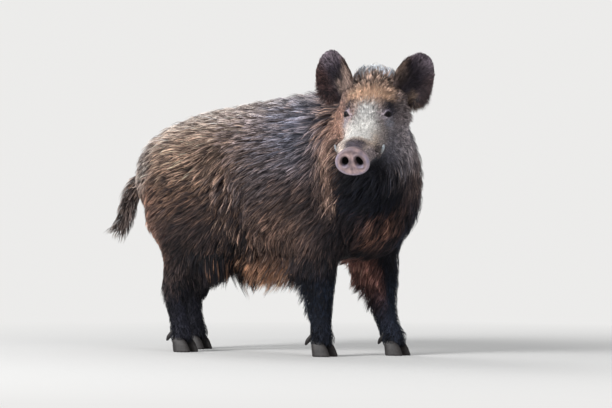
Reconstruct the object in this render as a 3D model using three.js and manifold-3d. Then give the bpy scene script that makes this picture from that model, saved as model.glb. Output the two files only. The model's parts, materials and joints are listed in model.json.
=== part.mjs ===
// A wild boar standing square on its four feet with its head turned to its right: a still, life-size
// display model. The solids reach out to the tips of the coat.
// Millimetres. +X runs along the body from rump to chest, +Y to the animal's left, +Z up. The soles
// stand at z = 0.

import * as THREE from "three";
import { LoftGeometry } from "three/addons/geometries/LoftGeometry.js";
import { mergeVertices } from "three/addons/utils/BufferGeometryUtils.js";
import Module from "manifold-3d";

const wasm = await Module();
wasm.setup();

// ---------------------------------------------------------------- driving sizes

const GAP = 0.4; // air between neighbouring pieces

const FORWARD = new THREE.Vector3(1, 0, 0);
const UP = new THREE.Vector3(0, 0, 1);

// The head has a frame of its own: origin where the skull meets the neck, +X to the snout.
const HEAD_AT = new THREE.Vector3(426, -41, 728);
const HEAD_TURN = THREE.MathUtils.degToRad(-68);
const HEAD_NOD = THREE.MathUtils.degToRad(25);
const SNOUT_END = 350; // from the skull's joint to the back of the nose disc
const DISC_THICK = 22;
const DISC_HALF_WIDTH = 50;
const NOSTRIL_APART = 20;

const EYE_AT = { x: 134, y: 57, z: 44 };
const EYE_RADIUS = 13;

const EAR_LENGTH = 134;
const EAR_HALF_WIDTH = 61;
const EAR_FRINGE = 40; // hair that hangs off the outer edge near the root
const EAR_HALF_THICK = 10;
const EAR_CUP = 38;
const EAR_POSES = {
  right: { at: [26, -84, 72], lean: 0.4, tip: -0.1, turn: -0.25 },
  left: { at: [26, 80, 73], lean: -0.74, tip: -0.1, turn: 0.35 },
};

// Where the body is parted.
const HEAD_CUT = 8; // in the head's frame
const NECK_CUT = new THREE.Matrix4()
  .makeRotationY(THREE.MathUtils.degToRad(-24))
  .setPosition(300, 0, 520);
const TAIL_CUT = -484;
const TASSEL_CUT = 430;
const ELBOW_CUT = 288;
const KNEE_CUT = 160;
const STIFLE_CUT = 306;
const HOCK_CUT = 178;

const TOE_APART = 19; // from the foot's middle to each toe
const HOOF_HEIGHT = 46;
const DEWCLAW_LENGTH = 34;
const DEWCLAW_RADIUS = 10;

// Where each foot stands, and how far its leg reaches behind and ahead of it.
const FEET = {
  front_right: { foot: [262, -95], side: -1, reach: [-126, 84] },
  front_left: { foot: [391, 95], side: 1, reach: [-196, 60] },
  hind_right: { foot: [-258, -92], side: -1, reach: [-122, 170] },
  hind_left: { foot: [-345, 92], side: 1, reach: [-122, 170] },
};

const COAT = new THREE.MeshStandardMaterial({ color: 0x4a3a2e, roughness: 0.95, metalness: 0 });
const LEG_COAT = new THREE.MeshStandardMaterial({ color: 0x1c1a1c, roughness: 0.9, metalness: 0 });
const EAR_COAT = new THREE.MeshStandardMaterial({ color: 0x2c2328, roughness: 0.95, metalness: 0 });
const NOSE_SKIN = new THREE.MeshStandardMaterial({ color: 0x8a6a62, roughness: 0.55, metalness: 0 });
const HORN = new THREE.MeshStandardMaterial({ color: 0x2b2724, roughness: 0.5, metalness: 0 });
const IVORY = new THREE.MeshStandardMaterial({ color: 0xd8d0bc, roughness: 0.35, metalness: 0 });
const EYEBALL = new THREE.MeshStandardMaterial({ color: 0x120c08, roughness: 0.08, metalness: 0 });

// ---------------------------------------------------------------- solids from geometries

function solidOf(geometry, matrix = new THREE.Matrix4()) {
  const plain = new THREE.BufferGeometry()
    .setAttribute("position", geometry.attributes.position)
    .setIndex(geometry.index)
    .applyMatrix4(matrix);
  const merged = mergeVertices(plain, 1e-3);
  return new wasm.Manifold(
    new wasm.Mesh({
      numProp: 3,
      vertProperties: merged.attributes.position.array,
      triVerts: new Uint32Array(merged.index.array),
    }),
  );
}

function geometryOf(solid) {
  const { vertProperties, triVerts } = solid.getMesh();
  const geometry = new THREE.BufferGeometry();
  geometry.setAttribute("position", new THREE.BufferAttribute(vertProperties, 3));
  geometry.setIndex(new THREE.BufferAttribute(triVerts, 1));
  geometry.computeVertexNormals();
  return geometry;
}

function unite(solids) {
  return solids.reduce((all, one) => all.add(one));
}

// ---------------------------------------------------------------- lofts along a body line

// One cross-section. crest and keel shape its upper and lower half: 1 is round, more is a ridge,
// less is square.
function section(centre, side, up, form, sides) {
  return Array.from({ length: sides }, (_, i) => {
    const angle = (2 * Math.PI * i) / sides;
    const across = Math.cos(angle);
    const rise = Math.sin(angle);
    const power = rise > 0 ? form.crest : form.keel;
    const wide = form.wide * Math.sign(across) * Math.abs(across) ** power;
    const tall = (rise > 0 ? form.up : form.down) * rise;
    return centre.clone().addScaledVector(side, wide).addScaledVector(up, tall);
  });
}

// A smooth body through stations, each with a place and the half-sizes of its section. The section's
// upper side faces hint. Rounded ends reach past the first and last station by the two bulges.
function loft(stations, { sides = 20, steps = 16, hint = UP, bulge = [20, 20] }) {
  const triple = (pick) => new THREE.CatmullRomCurve3(stations.map((s) => new THREE.Vector3(...pick(s))));
  const line = triple((s) => s.at);
  const sizes = triple((s) => [s.wide, s.up, s.down]);
  const powers = triple((s) => [s.crest ?? 1, s.keel ?? 1, 0]);

  const ring = (t, shrink, shift) => {
    const along = line.getTangent(t);
    const side = hint.clone().cross(along).normalize();
    const up = along.clone().cross(side);
    const size = sizes.getPoint(t);
    const power = powers.getPoint(t);
    const form = {
      wide: size.x * shrink,
      up: size.y * shrink,
      down: size.z * shrink,
      crest: power.x,
      keel: power.y,
    };
    return section(line.getPoint(t).addScaledVector(along, shift), side, up, form, sides);
  };

  const dome = [80, 52, 26].map((degrees) => THREE.MathUtils.degToRad(degrees));
  const rings = [
    ...(bulge[0] ? dome.map((a) => ring(0, Math.cos(a), -bulge[0] * Math.sin(a))) : []),
    ...Array.from({ length: steps + 1 }, (_, i) => ring(i / steps, 1, 0)),
    ...(bulge[1] ? dome.toReversed().map((a) => ring(1, Math.cos(a), bulge[1] * Math.sin(a))) : []),
  ];
  return new LoftGeometry(rings, { capStart: true, capEnd: true });
}

// ---------------------------------------------------------------- trunk, neck and tail

function trunk() {
  return loft(
    [
      { at: [-430, 0, 525], wide: 104, up: 112, down: 135, crest: 1.1 },
      { at: [-340, 0, 530], wide: 148, up: 166, down: 190, crest: 1.1 },
      { at: [-200, 0, 520], wide: 162, up: 226, down: 240, crest: 1.15 },
      { at: [-60, 0, 500], wide: 172, up: 266, down: 264, crest: 1.2 },
      { at: [90, 0, 500], wide: 178, up: 277, down: 274, crest: 1.25 },
      { at: [230, 0, 500], wide: 182, up: 287, down: 240, crest: 1.3, keel: 0.9 },
      { at: [355, 2, 478], wide: 182, up: 280, down: 198, crest: 1.35, keel: 0.85 },
    ],
    { sides: 22, steps: 13, bulge: [50, 156] },
  );
}

function neck() {
  return loft(
    [
      { at: [230, 0, 545], wide: 160, up: 235, down: 225, crest: 1.35 },
      { at: [315, -2, 560], wide: 158, up: 236, down: 235, crest: 1.4, keel: 0.9 },
      { at: [380, -32, 575], wide: 150, up: 240, down: 225, crest: 1.5, keel: 0.85 },
      { at: [424, -92, 590], wide: 140, up: 228, down: 195, crest: 1.5, keel: 0.8 },
      { at: [444, -150, 600], wide: 128, up: 190, down: 155, crest: 1.4, keel: 0.8 },
    ],
    { sides: 22, steps: 9, bulge: [60, 36] },
  );
}

function tail() {
  return loft(
    [
      { at: [-440, 0, 545], wide: 32, up: 30, down: 30 },
      { at: [-498, 0, 515], wide: 26, up: 26, down: 24 },
      { at: [-533, 0, 468], wide: 25, up: 30, down: 24 },
      { at: [-546, 0, 425], wide: 26, up: 33, down: 25 },
      { at: [-562, 0, 385], wide: 24, up: 34, down: 26 },
      { at: [-592, 0, 350], wide: 12, up: 22, down: 20 },
    ],
    { sides: 10, steps: 9, hint: FORWARD, bulge: [10, 22] },
  );
}

// ---------------------------------------------------------------- legs

// lean carries the leg forwards on its way down to the foot.
function frontLeg({ foot: [x, y], side }, lean) {
  const shoulder = x - lean;
  return loft(
    [
      { at: [shoulder - 26, side * 88, 520], wide: 84, up: 118, down: 100 },
      { at: [shoulder - 16, side * 108, 420], wide: 80, up: 106, down: 118 },
      { at: [shoulder - 10, side * 112, 330], wide: 68, up: 80, down: 112 },
      { at: [shoulder + 0.12 * lean - 4, side * 109, 262], wide: 56, up: 64, down: 112 },
      { at: [shoulder + 0.3 * lean, side * 104, 205], wide: 43, up: 50, down: 74 },
      { at: [shoulder + 0.45 * lean, side * 99, 155], wide: 37, up: 40, down: 52 },
      { at: [shoulder + 0.68 * lean, y, 100], wide: 32, up: 33, down: 42 },
      { at: [shoulder + 0.94 * lean, y, 60], wide: 35, up: 35, down: 41 },
      { at: [x + 2, y, 34], wide: 34, up: 34, down: 36 },
    ],
    { sides: 12, steps: 13, hint: FORWARD, bulge: [50, 10] },
  );
}

function hindLeg({ foot: [x, y], side }) {
  return loft(
    [
      { at: [x - 20, side * 76, 570], wide: 88, up: 140, down: 130 },
      { at: [x + 2, side * 92, 450], wide: 92, up: 160, down: 148 },
      { at: [x + 28, side * 102, 360], wide: 80, up: 158, down: 138 },
      { at: [x + 22, side * 101, 285], wide: 62, up: 138, down: 112 },
      { at: [x - 2, side * 98, 232], wide: 48, up: 112, down: 80 },
      { at: [x - 22, side * 94, 185], wide: 38, up: 62, down: 54 },
      { at: [x - 18, side * 92, 125], wide: 32, up: 32, down: 38 },
      { at: [x - 4, y, 62], wide: 35, up: 35, down: 41 },
      { at: [x + 2, y, 34], wide: 34, up: 34, down: 38 },
    ],
    { sides: 12, steps: 13, hint: FORWARD, bulge: [50, 10] },
  );
}

// One toe's hoof: a pointed sole that narrows upwards and slopes back.
function hoof(x, y, side, grow = 0) {
  const levels = [
    { z: 0, scale: 1, back: 0 },
    { z: 0.5 * HOOF_HEIGHT, scale: 0.9, back: 6 },
    { z: HOOF_HEIGHT, scale: 0.7, back: 14 },
  ];
  const outline = (level) =>
    Array.from({ length: 10 }, (_, i) => {
      const angle = (2 * Math.PI * i) / 10;
      const long = Math.cos(angle) > 0 ? 36 : 24;
      const outwards = Math.sin(angle) * side > 0 ? 16 : 13;
      return new THREE.Vector3(
        x + 6 - level.back + (long * level.scale + grow) * Math.cos(angle),
        y + side * 1.5 + (outwards * level.scale + grow) * Math.sin(angle) * (1 - 0.25 * Math.cos(angle)),
        level.z + (level.z > 0 ? grow : 0),
      );
    });
  return new LoftGeometry(levels.map(outline), { capStart: true, capEnd: true });
}

function dewclaw(x, y, side, grow = 0) {
  const cone = new THREE.CylinderGeometry(DEWCLAW_RADIUS + grow, 3 + grow, DEWCLAW_LENGTH + 2 * grow, 6);
  cone.rotateX(Math.PI / 2);
  cone.rotateY(THREE.MathUtils.degToRad(38));
  return cone.translate(x - 38, y + side * 21, 44);
}

// ---------------------------------------------------------------- head, in its own frame

const headFrame = new THREE.Matrix4().compose(
  HEAD_AT,
  new THREE.Quaternion().setFromEuler(new THREE.Euler(0, HEAD_NOD, HEAD_TURN, "ZYX")),
  new THREE.Vector3(1, 1, 1),
);

function skull() {
  return loft(
    [
      { at: [-10, 0, 0], wide: 100, up: 139, down: 120, crest: 0.85 },
      { at: [50, 0, 0], wide: 106, up: 112, down: 140, crest: 0.9 },
      { at: [110, 0, -4], wide: 92, up: 90, down: 128 },
      { at: [165, 0, -6], wide: 76, up: 70, down: 104 },
      { at: [220, 0, -5], wide: 60, up: 56, down: 80 },
      { at: [280, 0, -1], wide: 50, up: 48, down: 62 },
      { at: [330, 0, 0], wide: 47, up: 44, down: 48 },
      { at: [SNOUT_END, 0, 0], wide: 46, up: 43, down: 41 },
    ],
    { sides: 22, steps: 12, bulge: [40, 0] },
  );
}

function noseDisc() {
  const disc = solidOf(
    loft(
      [
        { at: [SNOUT_END + GAP, 0, 0], wide: 46, up: 43, down: 40 },
        { at: [SNOUT_END + 0.35 * DISC_THICK, 0, 0], wide: DISC_HALF_WIDTH, up: 45, down: 42 },
        { at: [SNOUT_END + 0.75 * DISC_THICK, 0, 0], wide: DISC_HALF_WIDTH, up: 45, down: 42 },
        { at: [SNOUT_END + DISC_THICK, 0, 0], wide: 44, up: 39, down: 36 },
      ],
      { sides: 22, steps: 3, bulge: [0, 0] },
    ),
    headFrame,
  );
  const nostrils = [-1, 1].map((side) => {
    const hole = new THREE.CylinderGeometry(9, 7, 40, 10).rotateZ(-Math.PI / 2).scale(1, 1, 1.3);
    hole.translate(SNOUT_END + DISC_THICK + 6, side * NOSTRIL_APART, 4);
    return solidOf(hole, headFrame);
  });
  return disc.subtract(unite(nostrils));
}

function ear(side, grow = 0) {
  const leaf = new THREE.SphereGeometry(1, 14, 8);
  const place = leaf.attributes.position;
  for (let i = 0; i < place.count; i++) {
    const across = place.getX(i);
    const along = (place.getY(i) + 1) / 2;
    const fringe = across * side > 0 ? EAR_FRINGE * (1 - along) ** 1.5 : 0;
    place.setXYZ(
      i,
      across * (EAR_HALF_WIDTH * (1.15 - 0.15 * along) + fringe + grow),
      along * (EAR_LENGTH + 2 * grow) - grow - fringe * Math.abs(across),
      place.getZ(i) * (EAR_HALF_THICK + grow) + EAR_CUP * across * across,
    );
  }
  // The leaf stands along its +Y with its hollow to +Z; it is turned so that the hollow looks ahead.
  const pose = side < 0 ? EAR_POSES.right : EAR_POSES.left;
  const upright = new THREE.Matrix4().makeBasis(
    new THREE.Vector3(0, 1, 0),
    new THREE.Vector3(0, 0, 1),
    new THREE.Vector3(1, 0, 0),
  );
  const turn = new THREE.Matrix4().makeRotationFromEuler(
    new THREE.Euler(pose.lean, pose.tip, pose.turn, "ZYX"),
  );
  turn.setPosition(...pose.at);
  return solidOf(leaf, headFrame.clone().multiply(turn).multiply(upright));
}

function eye(side, grow = 0) {
  const ball = new THREE.SphereGeometry(EYE_RADIUS + grow, 12, 8);
  ball.translate(EYE_AT.x, side * EYE_AT.y, EYE_AT.z);
  return solidOf(ball, headFrame);
}

function tusk(side, grow = 0) {
  return solidOf(
    loft(
      [
        { at: [262, side * 40, -34], wide: 7 + grow, up: 7 + grow, down: 7 + grow },
        { at: [264, side * 53, -24], wide: 6.5 + grow, up: 6.5 + grow, down: 6.5 + grow },
        { at: [259, side * 59, -8], wide: 5 + grow, up: 5 + grow, down: 5 + grow },
        { at: [252, side * 60, 6], wide: 2.5 + grow, up: 2.5 + grow, down: 2.5 + grow },
      ],
      { sides: 6, steps: 6, hint: FORWARD, bulge: [3, 3] },
    ),
    headFrame,
  );
}

// ---------------------------------------------------------------- the whole, parted by thin cuts

const legs = {
  front_right: frontLeg(FEET.front_right, 0),
  front_left: frontLeg(FEET.front_left, 72),
  hind_right: hindLeg(FEET.hind_right),
  hind_left: hindLeg(FEET.hind_left),
};

let body = unite([
  solidOf(trunk()),
  solidOf(neck()),
  solidOf(tail()),
  ...Object.values(legs).map((leg) => solidOf(leg)),
  solidOf(skull(), headFrame),
]);

const boar = new THREE.Group();

function add(name, solid, material) {
  const mesh = new THREE.Mesh(geometryOf(solid), material);
  mesh.name = name;
  boar.add(mesh);
}

// Hooves, dewclaws, eyes, tusks and ears are pieces of their own, let into the flesh.
for (const [leg, { foot: [x, y] }] of Object.entries(FEET)) {
  for (const [toe, side] of [["right", -1], ["left", 1]]) {
    const claw = (grow) => solidOf(hoof(x, y + side * TOE_APART, side, grow));
    const spur = (grow) => solidOf(dewclaw(x, y, side, grow));
    body = body.subtract(claw(GAP)).subtract(spur(GAP));
    add(`${leg}_hoof_${toe}`, claw(0), HORN);
    add(`${leg}_dewclaw_${toe}`, spur(0), HORN);
  }
}
for (const [name, side] of [["right", -1], ["left", 1]]) {
  body = body.subtract(eye(side, GAP)).subtract(tusk(side, GAP)).subtract(ear(side, GAP));
  add(`ear_${name}`, ear(side), EAR_COAT);
  add(`eye_${name}`, eye(side), EYEBALL);
  add(`tusk_${name}`, tusk(side), IVORY);
}
add("nose_disc", noseDisc(), NOSE_SKIN);

// What a block holds of the body becomes a piece of its own, with air left round it. A block is
// given by its corners in a frame of its own.
function takeOff(name, [low, high], frame, material) {
  const block = (grow) => {
    const [from, to] = [low.map((v) => v - grow), high.map((v) => v + grow)];
    const box = new THREE.BoxGeometry(to[0] - from[0], to[1] - from[1], to[2] - from[2]);
    box.translate(...from.map((v, i) => (v + to[i]) / 2));
    return solidOf(box, frame);
  };
  add(name, body.intersect(block(0)), material);
  body = body.subtract(block(GAP));
}

const level = new THREE.Matrix4();

takeOff("lower_jaw", [[232, -90, -100], [SNOUT_END + 4, 90, -22]], headFrame, COAT);
takeOff("head", [[HEAD_CUT, -160, -150], [400, 160, 200]], headFrame, COAT);
takeOff("neck", [[0, -300, -220], [400, 300, 300]], NECK_CUT, COAT);
takeOff("tail_tassel", [[-800, -40, 200], [-490, 40, TASSEL_CUT]], level, COAT);
takeOff("tail", [[-800, -40, TASSEL_CUT + GAP], [TAIL_CUT, 40, 600]], level, COAT);

for (const [leg, { foot: [x, y], side, reach }] of Object.entries(FEET)) {
  const front = leg.startsWith("front");
  const cut = front ? KNEE_CUT : HOCK_CUT;
  const top = front ? ELBOW_CUT : STIFLE_CUT;
  const [from, to] = reach.map((r) => x + r);
  const [near, far] = [y - side * 60, y + side * 100].toSorted((p, q) => p - q);
  takeOff(`${leg}_leg_lower`, [[from, near, 0], [to, far, cut]], level, LEG_COAT);
  takeOff(`${leg}_leg_upper`, [[from, near, cut + GAP], [to, far, top]], level, LEG_COAT);
}
add("trunk", body, COAT);

// The part's origin is on the floor under the middle of its box.
const box = new THREE.Box3().setFromObject(boar);
const middle = box.getCenter(new THREE.Vector3());
boar.position.set(-middle.x, -middle.y, -box.min.z);

export default boar;
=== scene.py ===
# A still, life-size wild boar in its winter coat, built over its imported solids.
# Metres, in the frame of the solids: +X from rump to chest, +Y to the animal's left, +Z up.

import json
import math

import bmesh
import bpy
import numpy as np
from mathutils import Matrix, Vector, kdtree
from mathutils.bvhtree import BVHTree

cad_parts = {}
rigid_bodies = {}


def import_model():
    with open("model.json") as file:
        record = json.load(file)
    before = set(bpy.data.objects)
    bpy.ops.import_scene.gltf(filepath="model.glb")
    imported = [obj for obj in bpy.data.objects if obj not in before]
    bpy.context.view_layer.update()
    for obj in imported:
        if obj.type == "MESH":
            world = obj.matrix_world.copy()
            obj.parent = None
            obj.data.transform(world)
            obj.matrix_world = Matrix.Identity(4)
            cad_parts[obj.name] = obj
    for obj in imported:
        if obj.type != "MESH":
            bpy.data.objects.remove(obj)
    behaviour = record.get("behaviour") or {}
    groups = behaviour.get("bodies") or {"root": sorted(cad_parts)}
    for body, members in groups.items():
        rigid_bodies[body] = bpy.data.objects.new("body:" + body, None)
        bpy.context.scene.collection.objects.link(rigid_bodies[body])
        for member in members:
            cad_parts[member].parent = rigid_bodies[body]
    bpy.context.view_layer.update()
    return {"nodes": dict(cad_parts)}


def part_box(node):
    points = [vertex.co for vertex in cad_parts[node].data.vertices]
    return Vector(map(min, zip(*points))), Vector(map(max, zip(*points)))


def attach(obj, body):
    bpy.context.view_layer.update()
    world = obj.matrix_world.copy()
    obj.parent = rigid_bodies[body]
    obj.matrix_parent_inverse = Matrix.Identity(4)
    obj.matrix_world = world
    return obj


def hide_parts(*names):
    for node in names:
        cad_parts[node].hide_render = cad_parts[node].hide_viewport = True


for leftover in list(bpy.data.objects):
    bpy.data.objects.remove(leftover)
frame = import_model()

chance = np.random.default_rng(7)
MM = 0.001

# ------------------------------------------------------------------ nodes written as expressions


class Wire:
    """A socket that adds Math and Vector Math nodes when it is reckoned with."""

    def __init__(self, net, socket):
        self.net, self.socket = net, socket

    def is_wide(self):
        return self.socket.type in ("VECTOR", "RGBA")

    def reckon(self, operation, *values):
        wide = [v for v in values if isinstance(v, tuple) or (isinstance(v, Wire) and v.is_wide())]
        if not wide:
            return self.net.add("ShaderNodeMath", {"operation": operation}, dict(enumerate(values)))
        thin = [v for v in values if v is not wide[0]]
        if operation == "MULTIPLY" and len(wide) == 1:
            return self.net.add("ShaderNodeVectorMath", {"operation": "SCALE"},
                                {0: wide[0], "Scale": thin[0]})
        return self.net.add("ShaderNodeVectorMath", {"operation": operation}, dict(enumerate(values)))


def add_operators():
    for name, operation in (("add", "ADD"), ("sub", "SUBTRACT"), ("mul", "MULTIPLY"), ("truediv", "DIVIDE")):
        setattr(Wire, f"__{name}__", lambda self, other, o=operation: self.reckon(o, self, other))
        setattr(Wire, f"__r{name}__", lambda self, other, o=operation: self.reckon(o, other, self))


add_operators()


class Net:
    """A node tree under construction."""

    def __init__(self, tree):
        self.tree = tree

    def add(self, kind, settings=None, sockets=None, out=0):
        """Adds a node with its settings and its sockets' values or links, and returns one of its outputs."""
        node = self.tree.nodes.new(kind)
        for name, value in (settings or {}).items():
            setattr(node, name, value)
        for key, value in (sockets or {}).items():
            if isinstance(value, Wire):
                self.tree.links.new(value.socket, node.inputs[key])
            else:
                node.inputs[key].default_value = value
        return Wire(self, node.outputs[out]) if node.outputs else node

    def attribute(self, name):
        return self.add("ShaderNodeAttribute", {"attribute_name": name}, out="Color")

    def measure(self, name):
        return self.add("ShaderNodeAttribute", {"attribute_name": name}, out="Fac")

    def noise(self, scale, detail, rough=0.5):
        return self.add("ShaderNodeTexNoise", {}, {"Vector": self.place(), "Scale": scale,
                                                   "Detail": detail, "Roughness": rough}, out="Fac")

    def place(self):
        return self.add("ShaderNodeTexCoord", out="Object")

    def blend(self, amount, low, high):
        return self.add("ShaderNodeMix", {"data_type": "RGBA", "blend_type": "MIX", "clamp_result": True},
                        {0: amount, 6: low, 7: high}, out=2)

    def between(self, value, low, high):
        return self.add("ShaderNodeMapRange", {"clamp": True},
                        {"Value": value, "From Min": low, "From Max": high})


def seen_directly(net):
    """1 for the camera's rays and for what glossy and clear surfaces show, 0 for light."""
    camera, glossy, clear = (net.add("ShaderNodeLightPath", out=f"Is {kind} Ray")
                             for kind in ("Camera", "Glossy", "Transmission"))
    return camera + glossy + clear


def material_of(name, surface):
    """A material that shows what surface(net) returns."""
    made = bpy.data.materials.new(name)
    made.use_nodes = True
    made.node_tree.nodes.clear()
    net = Net(made.node_tree)
    net.add("ShaderNodeOutputMaterial", {}, {"Surface": surface(net)})
    return made


def finish(name, paint):
    """A material whose Principled shader takes what paint returns: its fixed and its linked sockets."""
    return material_of(name, lambda net: net.add("ShaderNodeBsdfPrincipled", {}, paint(net)))


# ------------------------------------------------------------------ numbers

def ease(value, low, high):
    t = np.clip((value - low) / (high - low), 0, 1)
    return t * t * (3 - 2 * t)


def fade(value, low, high):
    return 1 - ease(value, low, high)


def hill(value, middle, reach):
    return np.exp(-(((value - middle) / reach) ** 2))


def unit(vectors):
    return vectors / np.maximum(np.linalg.norm(vectors, axis=-1, keepdims=True), 1e-9)


def ways(*parts):
    """Rows of three from three columns, or from columns and plain numbers."""
    return np.stack(np.broadcast_arrays(*parts), 1).astype(float)


def mix(a, b, t):
    return a + (b - a) * t


def rows(values):
    return np.asarray(values)[:, None]


def ripple(points, size, seed, waves=7):
    """Smooth noise of about -1 to 1 with features of the given size."""
    dice = np.random.default_rng(seed)
    total = np.zeros(len(points))
    for _ in range(waves):
        way = unit(dice.normal(size=3)) * dice.uniform(0.7, 1.5) * 2 * math.pi / size
        total += np.sin(points @ way + dice.uniform(0, 2 * math.pi))
    return total / math.sqrt(waves)


# ------------------------------------------------------------------ where the animal's parts are

HEAD_TURN = math.radians(-68)
HEAD_NOD = math.radians(25)
AHEAD = np.array([math.cos(HEAD_NOD) * math.cos(HEAD_TURN), math.cos(HEAD_NOD) * math.sin(HEAD_TURN),
                  -math.sin(HEAD_NOD)])
LEFTWARD = np.array([-math.sin(HEAD_TURN), math.cos(HEAD_TURN), 0.0])
CROWNWARD = np.cross(AHEAD, LEFTWARD)
HEAD_AXES = np.stack([AHEAD, LEFTWARD, CROWNWARD], 1)

EYE_AT = np.array([134, 57, 44]) * MM  # in the head's frame, left side


def box_middle(node):
    low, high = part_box(node)
    return (np.array(low) + np.array(high)) / 2


between_eyes = (box_middle("eye_left") + box_middle("eye_right")) / 2
HEAD_AT = between_eyes - HEAD_AXES @ (EYE_AT * [1, 0, 1])
# The animal's own frame has its origin on the floor under the middle of its trunk.
BODY_AT = HEAD_AT - np.array([426, -41, 728]) * MM

# The middle of each foot in the animal's frame, along and to the left.
FEET = {"front_right": (262, -95), "front_left": (391, 95),
        "hind_right": (-258, -92), "hind_left": (-345, 92)}


def in_head(points):
    """Millimetres from the skull's joint: ahead, to the left, to the crown."""
    return (points - HEAD_AT) @ HEAD_AXES / MM


def in_body(points):
    """Millimetres along the body, to the left, up."""
    return (points - BODY_AT) / MM


def from_head(points):
    return HEAD_AT + (np.asarray(points, float) * MM) @ HEAD_AXES.T


# Half-sizes of the head along its length, as in the solids.
HEAD_STATIONS = np.array([
    # ahead, wide, up, down, middle
    [-60, 95, 130, 118, 0], [-10, 100, 139, 120, 0], [50, 106, 112, 140, 0], [110, 92, 90, 128, -4],
    [165, 76, 70, 104, -6], [220, 60, 56, 80, -5], [280, 50, 48, 62, -1], [330, 47, 44, 48, 0],
    [350, 46, 43, 41, 0], [380, 46, 43, 41, 0]])


def head_reach(q):
    """1 on the skull's surface, less inside it, more outside."""
    wide, up, down, middle = (np.interp(q[:, 0], HEAD_STATIONS[:, 0], HEAD_STATIONS[:, i])
                              for i in (1, 2, 3, 4))
    rise = q[:, 2] - middle
    return np.hypot(q[:, 1] / wide, rise / np.where(rise > 0, up, down))


def face_from(q):
    """How much a place in the head's frame belongs to the face and skull, from 0 to 1."""
    return ease(q[:, 0], -25, 30) * fade(head_reach(q), 1.08, 1.3)


def flank_fold(b):
    """How far a point lies ahead of the fold that runs down the flank, and how much the fold tells."""
    x, y, z = b.T
    ahead = x - (57 - 0.36 * (z - 270)) - 6 * np.sin(z / 26)
    return ahead, fade(z, 560, 650) * ease(z, 250, 300) * ease(np.abs(y), 60, 120)


def crown_share(q):
    """The crest between the ears."""
    x, y, z = mirrored(q).T
    return ease(x, -140, -80) * fade(x, 8, 34) * ease(z, 48, 84) * fade(y, 70, 98)


def mirrored(q):
    """The same places with the animal's right side laid on its left."""
    return np.stack([q[:, 0], np.abs(q[:, 1]), q[:, 2]], 1)


def knob(q, middle, reach):
    return np.exp(-(((q - middle) / reach) ** 2).sum(1))


# ------------------------------------------------------------------ meshes as arrays

def mesh_arrays(mesh):
    places = np.empty(len(mesh.vertices) * 3)
    mesh.vertices.foreach_get("co", places)
    mesh.calc_loop_triangles()
    corners = np.empty(len(mesh.loop_triangles) * 3, np.int32)
    mesh.loop_triangles.foreach_get("vertices", corners)
    return places.reshape(-1, 3), corners.reshape(-1, 3)


def mesh_edges(mesh):
    ends = np.empty(len(mesh.edges) * 2, np.int32)
    mesh.edges.foreach_get("vertices", ends)
    return ends.reshape(-1, 2)


def tree_of(places, triangles):
    return BVHTree.FromPolygons(places.tolist(), triangles.tolist())


def measured(mesh, **measures):
    """Gives every point of a mesh its value of each measure."""
    for name, values in measures.items():
        mesh.attributes.new(name, "FLOAT", "POINT").data.foreach_set("value", np.asarray(values, np.float32))


def coloured(mesh, **colours):
    """Gives every point of a mesh its colour by each name."""
    for name, values in colours.items():
        four = np.concatenate([values, np.ones((len(values), 1))], 1).astype(np.float32)
        mesh.attributes.new(name, "FLOAT_COLOR", "POINT").data.foreach_set("color", four.ravel())


def normals_of(places, triangles):
    a, b, c = (places[triangles[:, i]] for i in range(3))
    flat = np.cross(b - a, c - a)
    out = np.zeros_like(places)
    for i in range(3):
        np.add.at(out, triangles[:, i], flat)
    return unit(out)


def relaxed(places, edges, rounds, share=1.0, back=0.92):
    """Moves each point towards its neighbours' middle, by share. Every second round goes the given part
    of the way back, which keeps the volume."""
    count = np.maximum(np.bincount(edges.ravel(), minlength=len(places)), 1)[:, None]
    share = np.broadcast_to(share, len(places))[:, None]
    for step in range(rounds):
        total = np.zeros_like(places)
        for i in range(3):
            total[:, i] = (np.bincount(edges[:, 0], places[edges[:, 1], i], len(places))
                           + np.bincount(edges[:, 1], places[edges[:, 0], i], len(places)))
        pull = 0.5 if step % 2 == 0 else -0.5 * back
        places = places + (total / count - places) * share * pull
    return places


def object_of(name, data, material=None):
    """An object in the scene, of one material if it is given."""
    thing = bpy.data.objects.new(name, data)
    bpy.context.collection.objects.link(thing)
    if material:
        data.materials.clear()
        data.materials.append(material)
    return thing


def outward(mesh):
    """Turns all faces of a closed mesh outwards."""
    shape = bmesh.new()
    shape.from_mesh(mesh)
    bmesh.ops.recalc_face_normals(shape, faces=shape.faces)
    shape.to_mesh(mesh)
    shape.free()
    return mesh


def mesh_of(name, places, faces, smooth=True):
    mesh = bpy.data.meshes.new(name)
    mesh.from_pydata([tuple(p) for p in places], [], [tuple(int(i) for i in f) for f in faces])
    mesh.validate()
    mesh.update()
    mesh.shade_smooth() if smooth else mesh.shade_flat()
    return mesh


def settled(thing):
    """The object's evaluated mesh, in place of its modifiers."""
    graph = bpy.context.evaluated_depsgraph_get()
    mesh = bpy.data.meshes.new_from_object(thing.evaluated_get(graph))
    thing.modifiers.clear()
    old = thing.data
    thing.data = mesh
    if old.users == 0:
        bpy.data.meshes.remove(old)
    return mesh


def tube_faces(columns, lines, ends=""):
    """Quads of a tube whose points run round it first. ends says in which order fans close its (f)oot and
    its (t)ip, on the two points after the tube's own, the first of which belongs to the first end named."""
    steps = [(i, (i + 1) % columns) for i in range(columns)]
    out = [(j + i, j + k, j + columns + k, j + columns + i)
           for j in range(0, (lines - 1) * columns, columns) for i, k in steps]
    last, spare = (lines - 1) * columns, lines * columns
    for i, k in steps:
        rims = {"f": (k, i), "t": (last + i, last + k)}
        out += [(*rims[end], spare + n) for n, end in enumerate(ends)]
    return out


# ------------------------------------------------------------------ the skin

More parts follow.
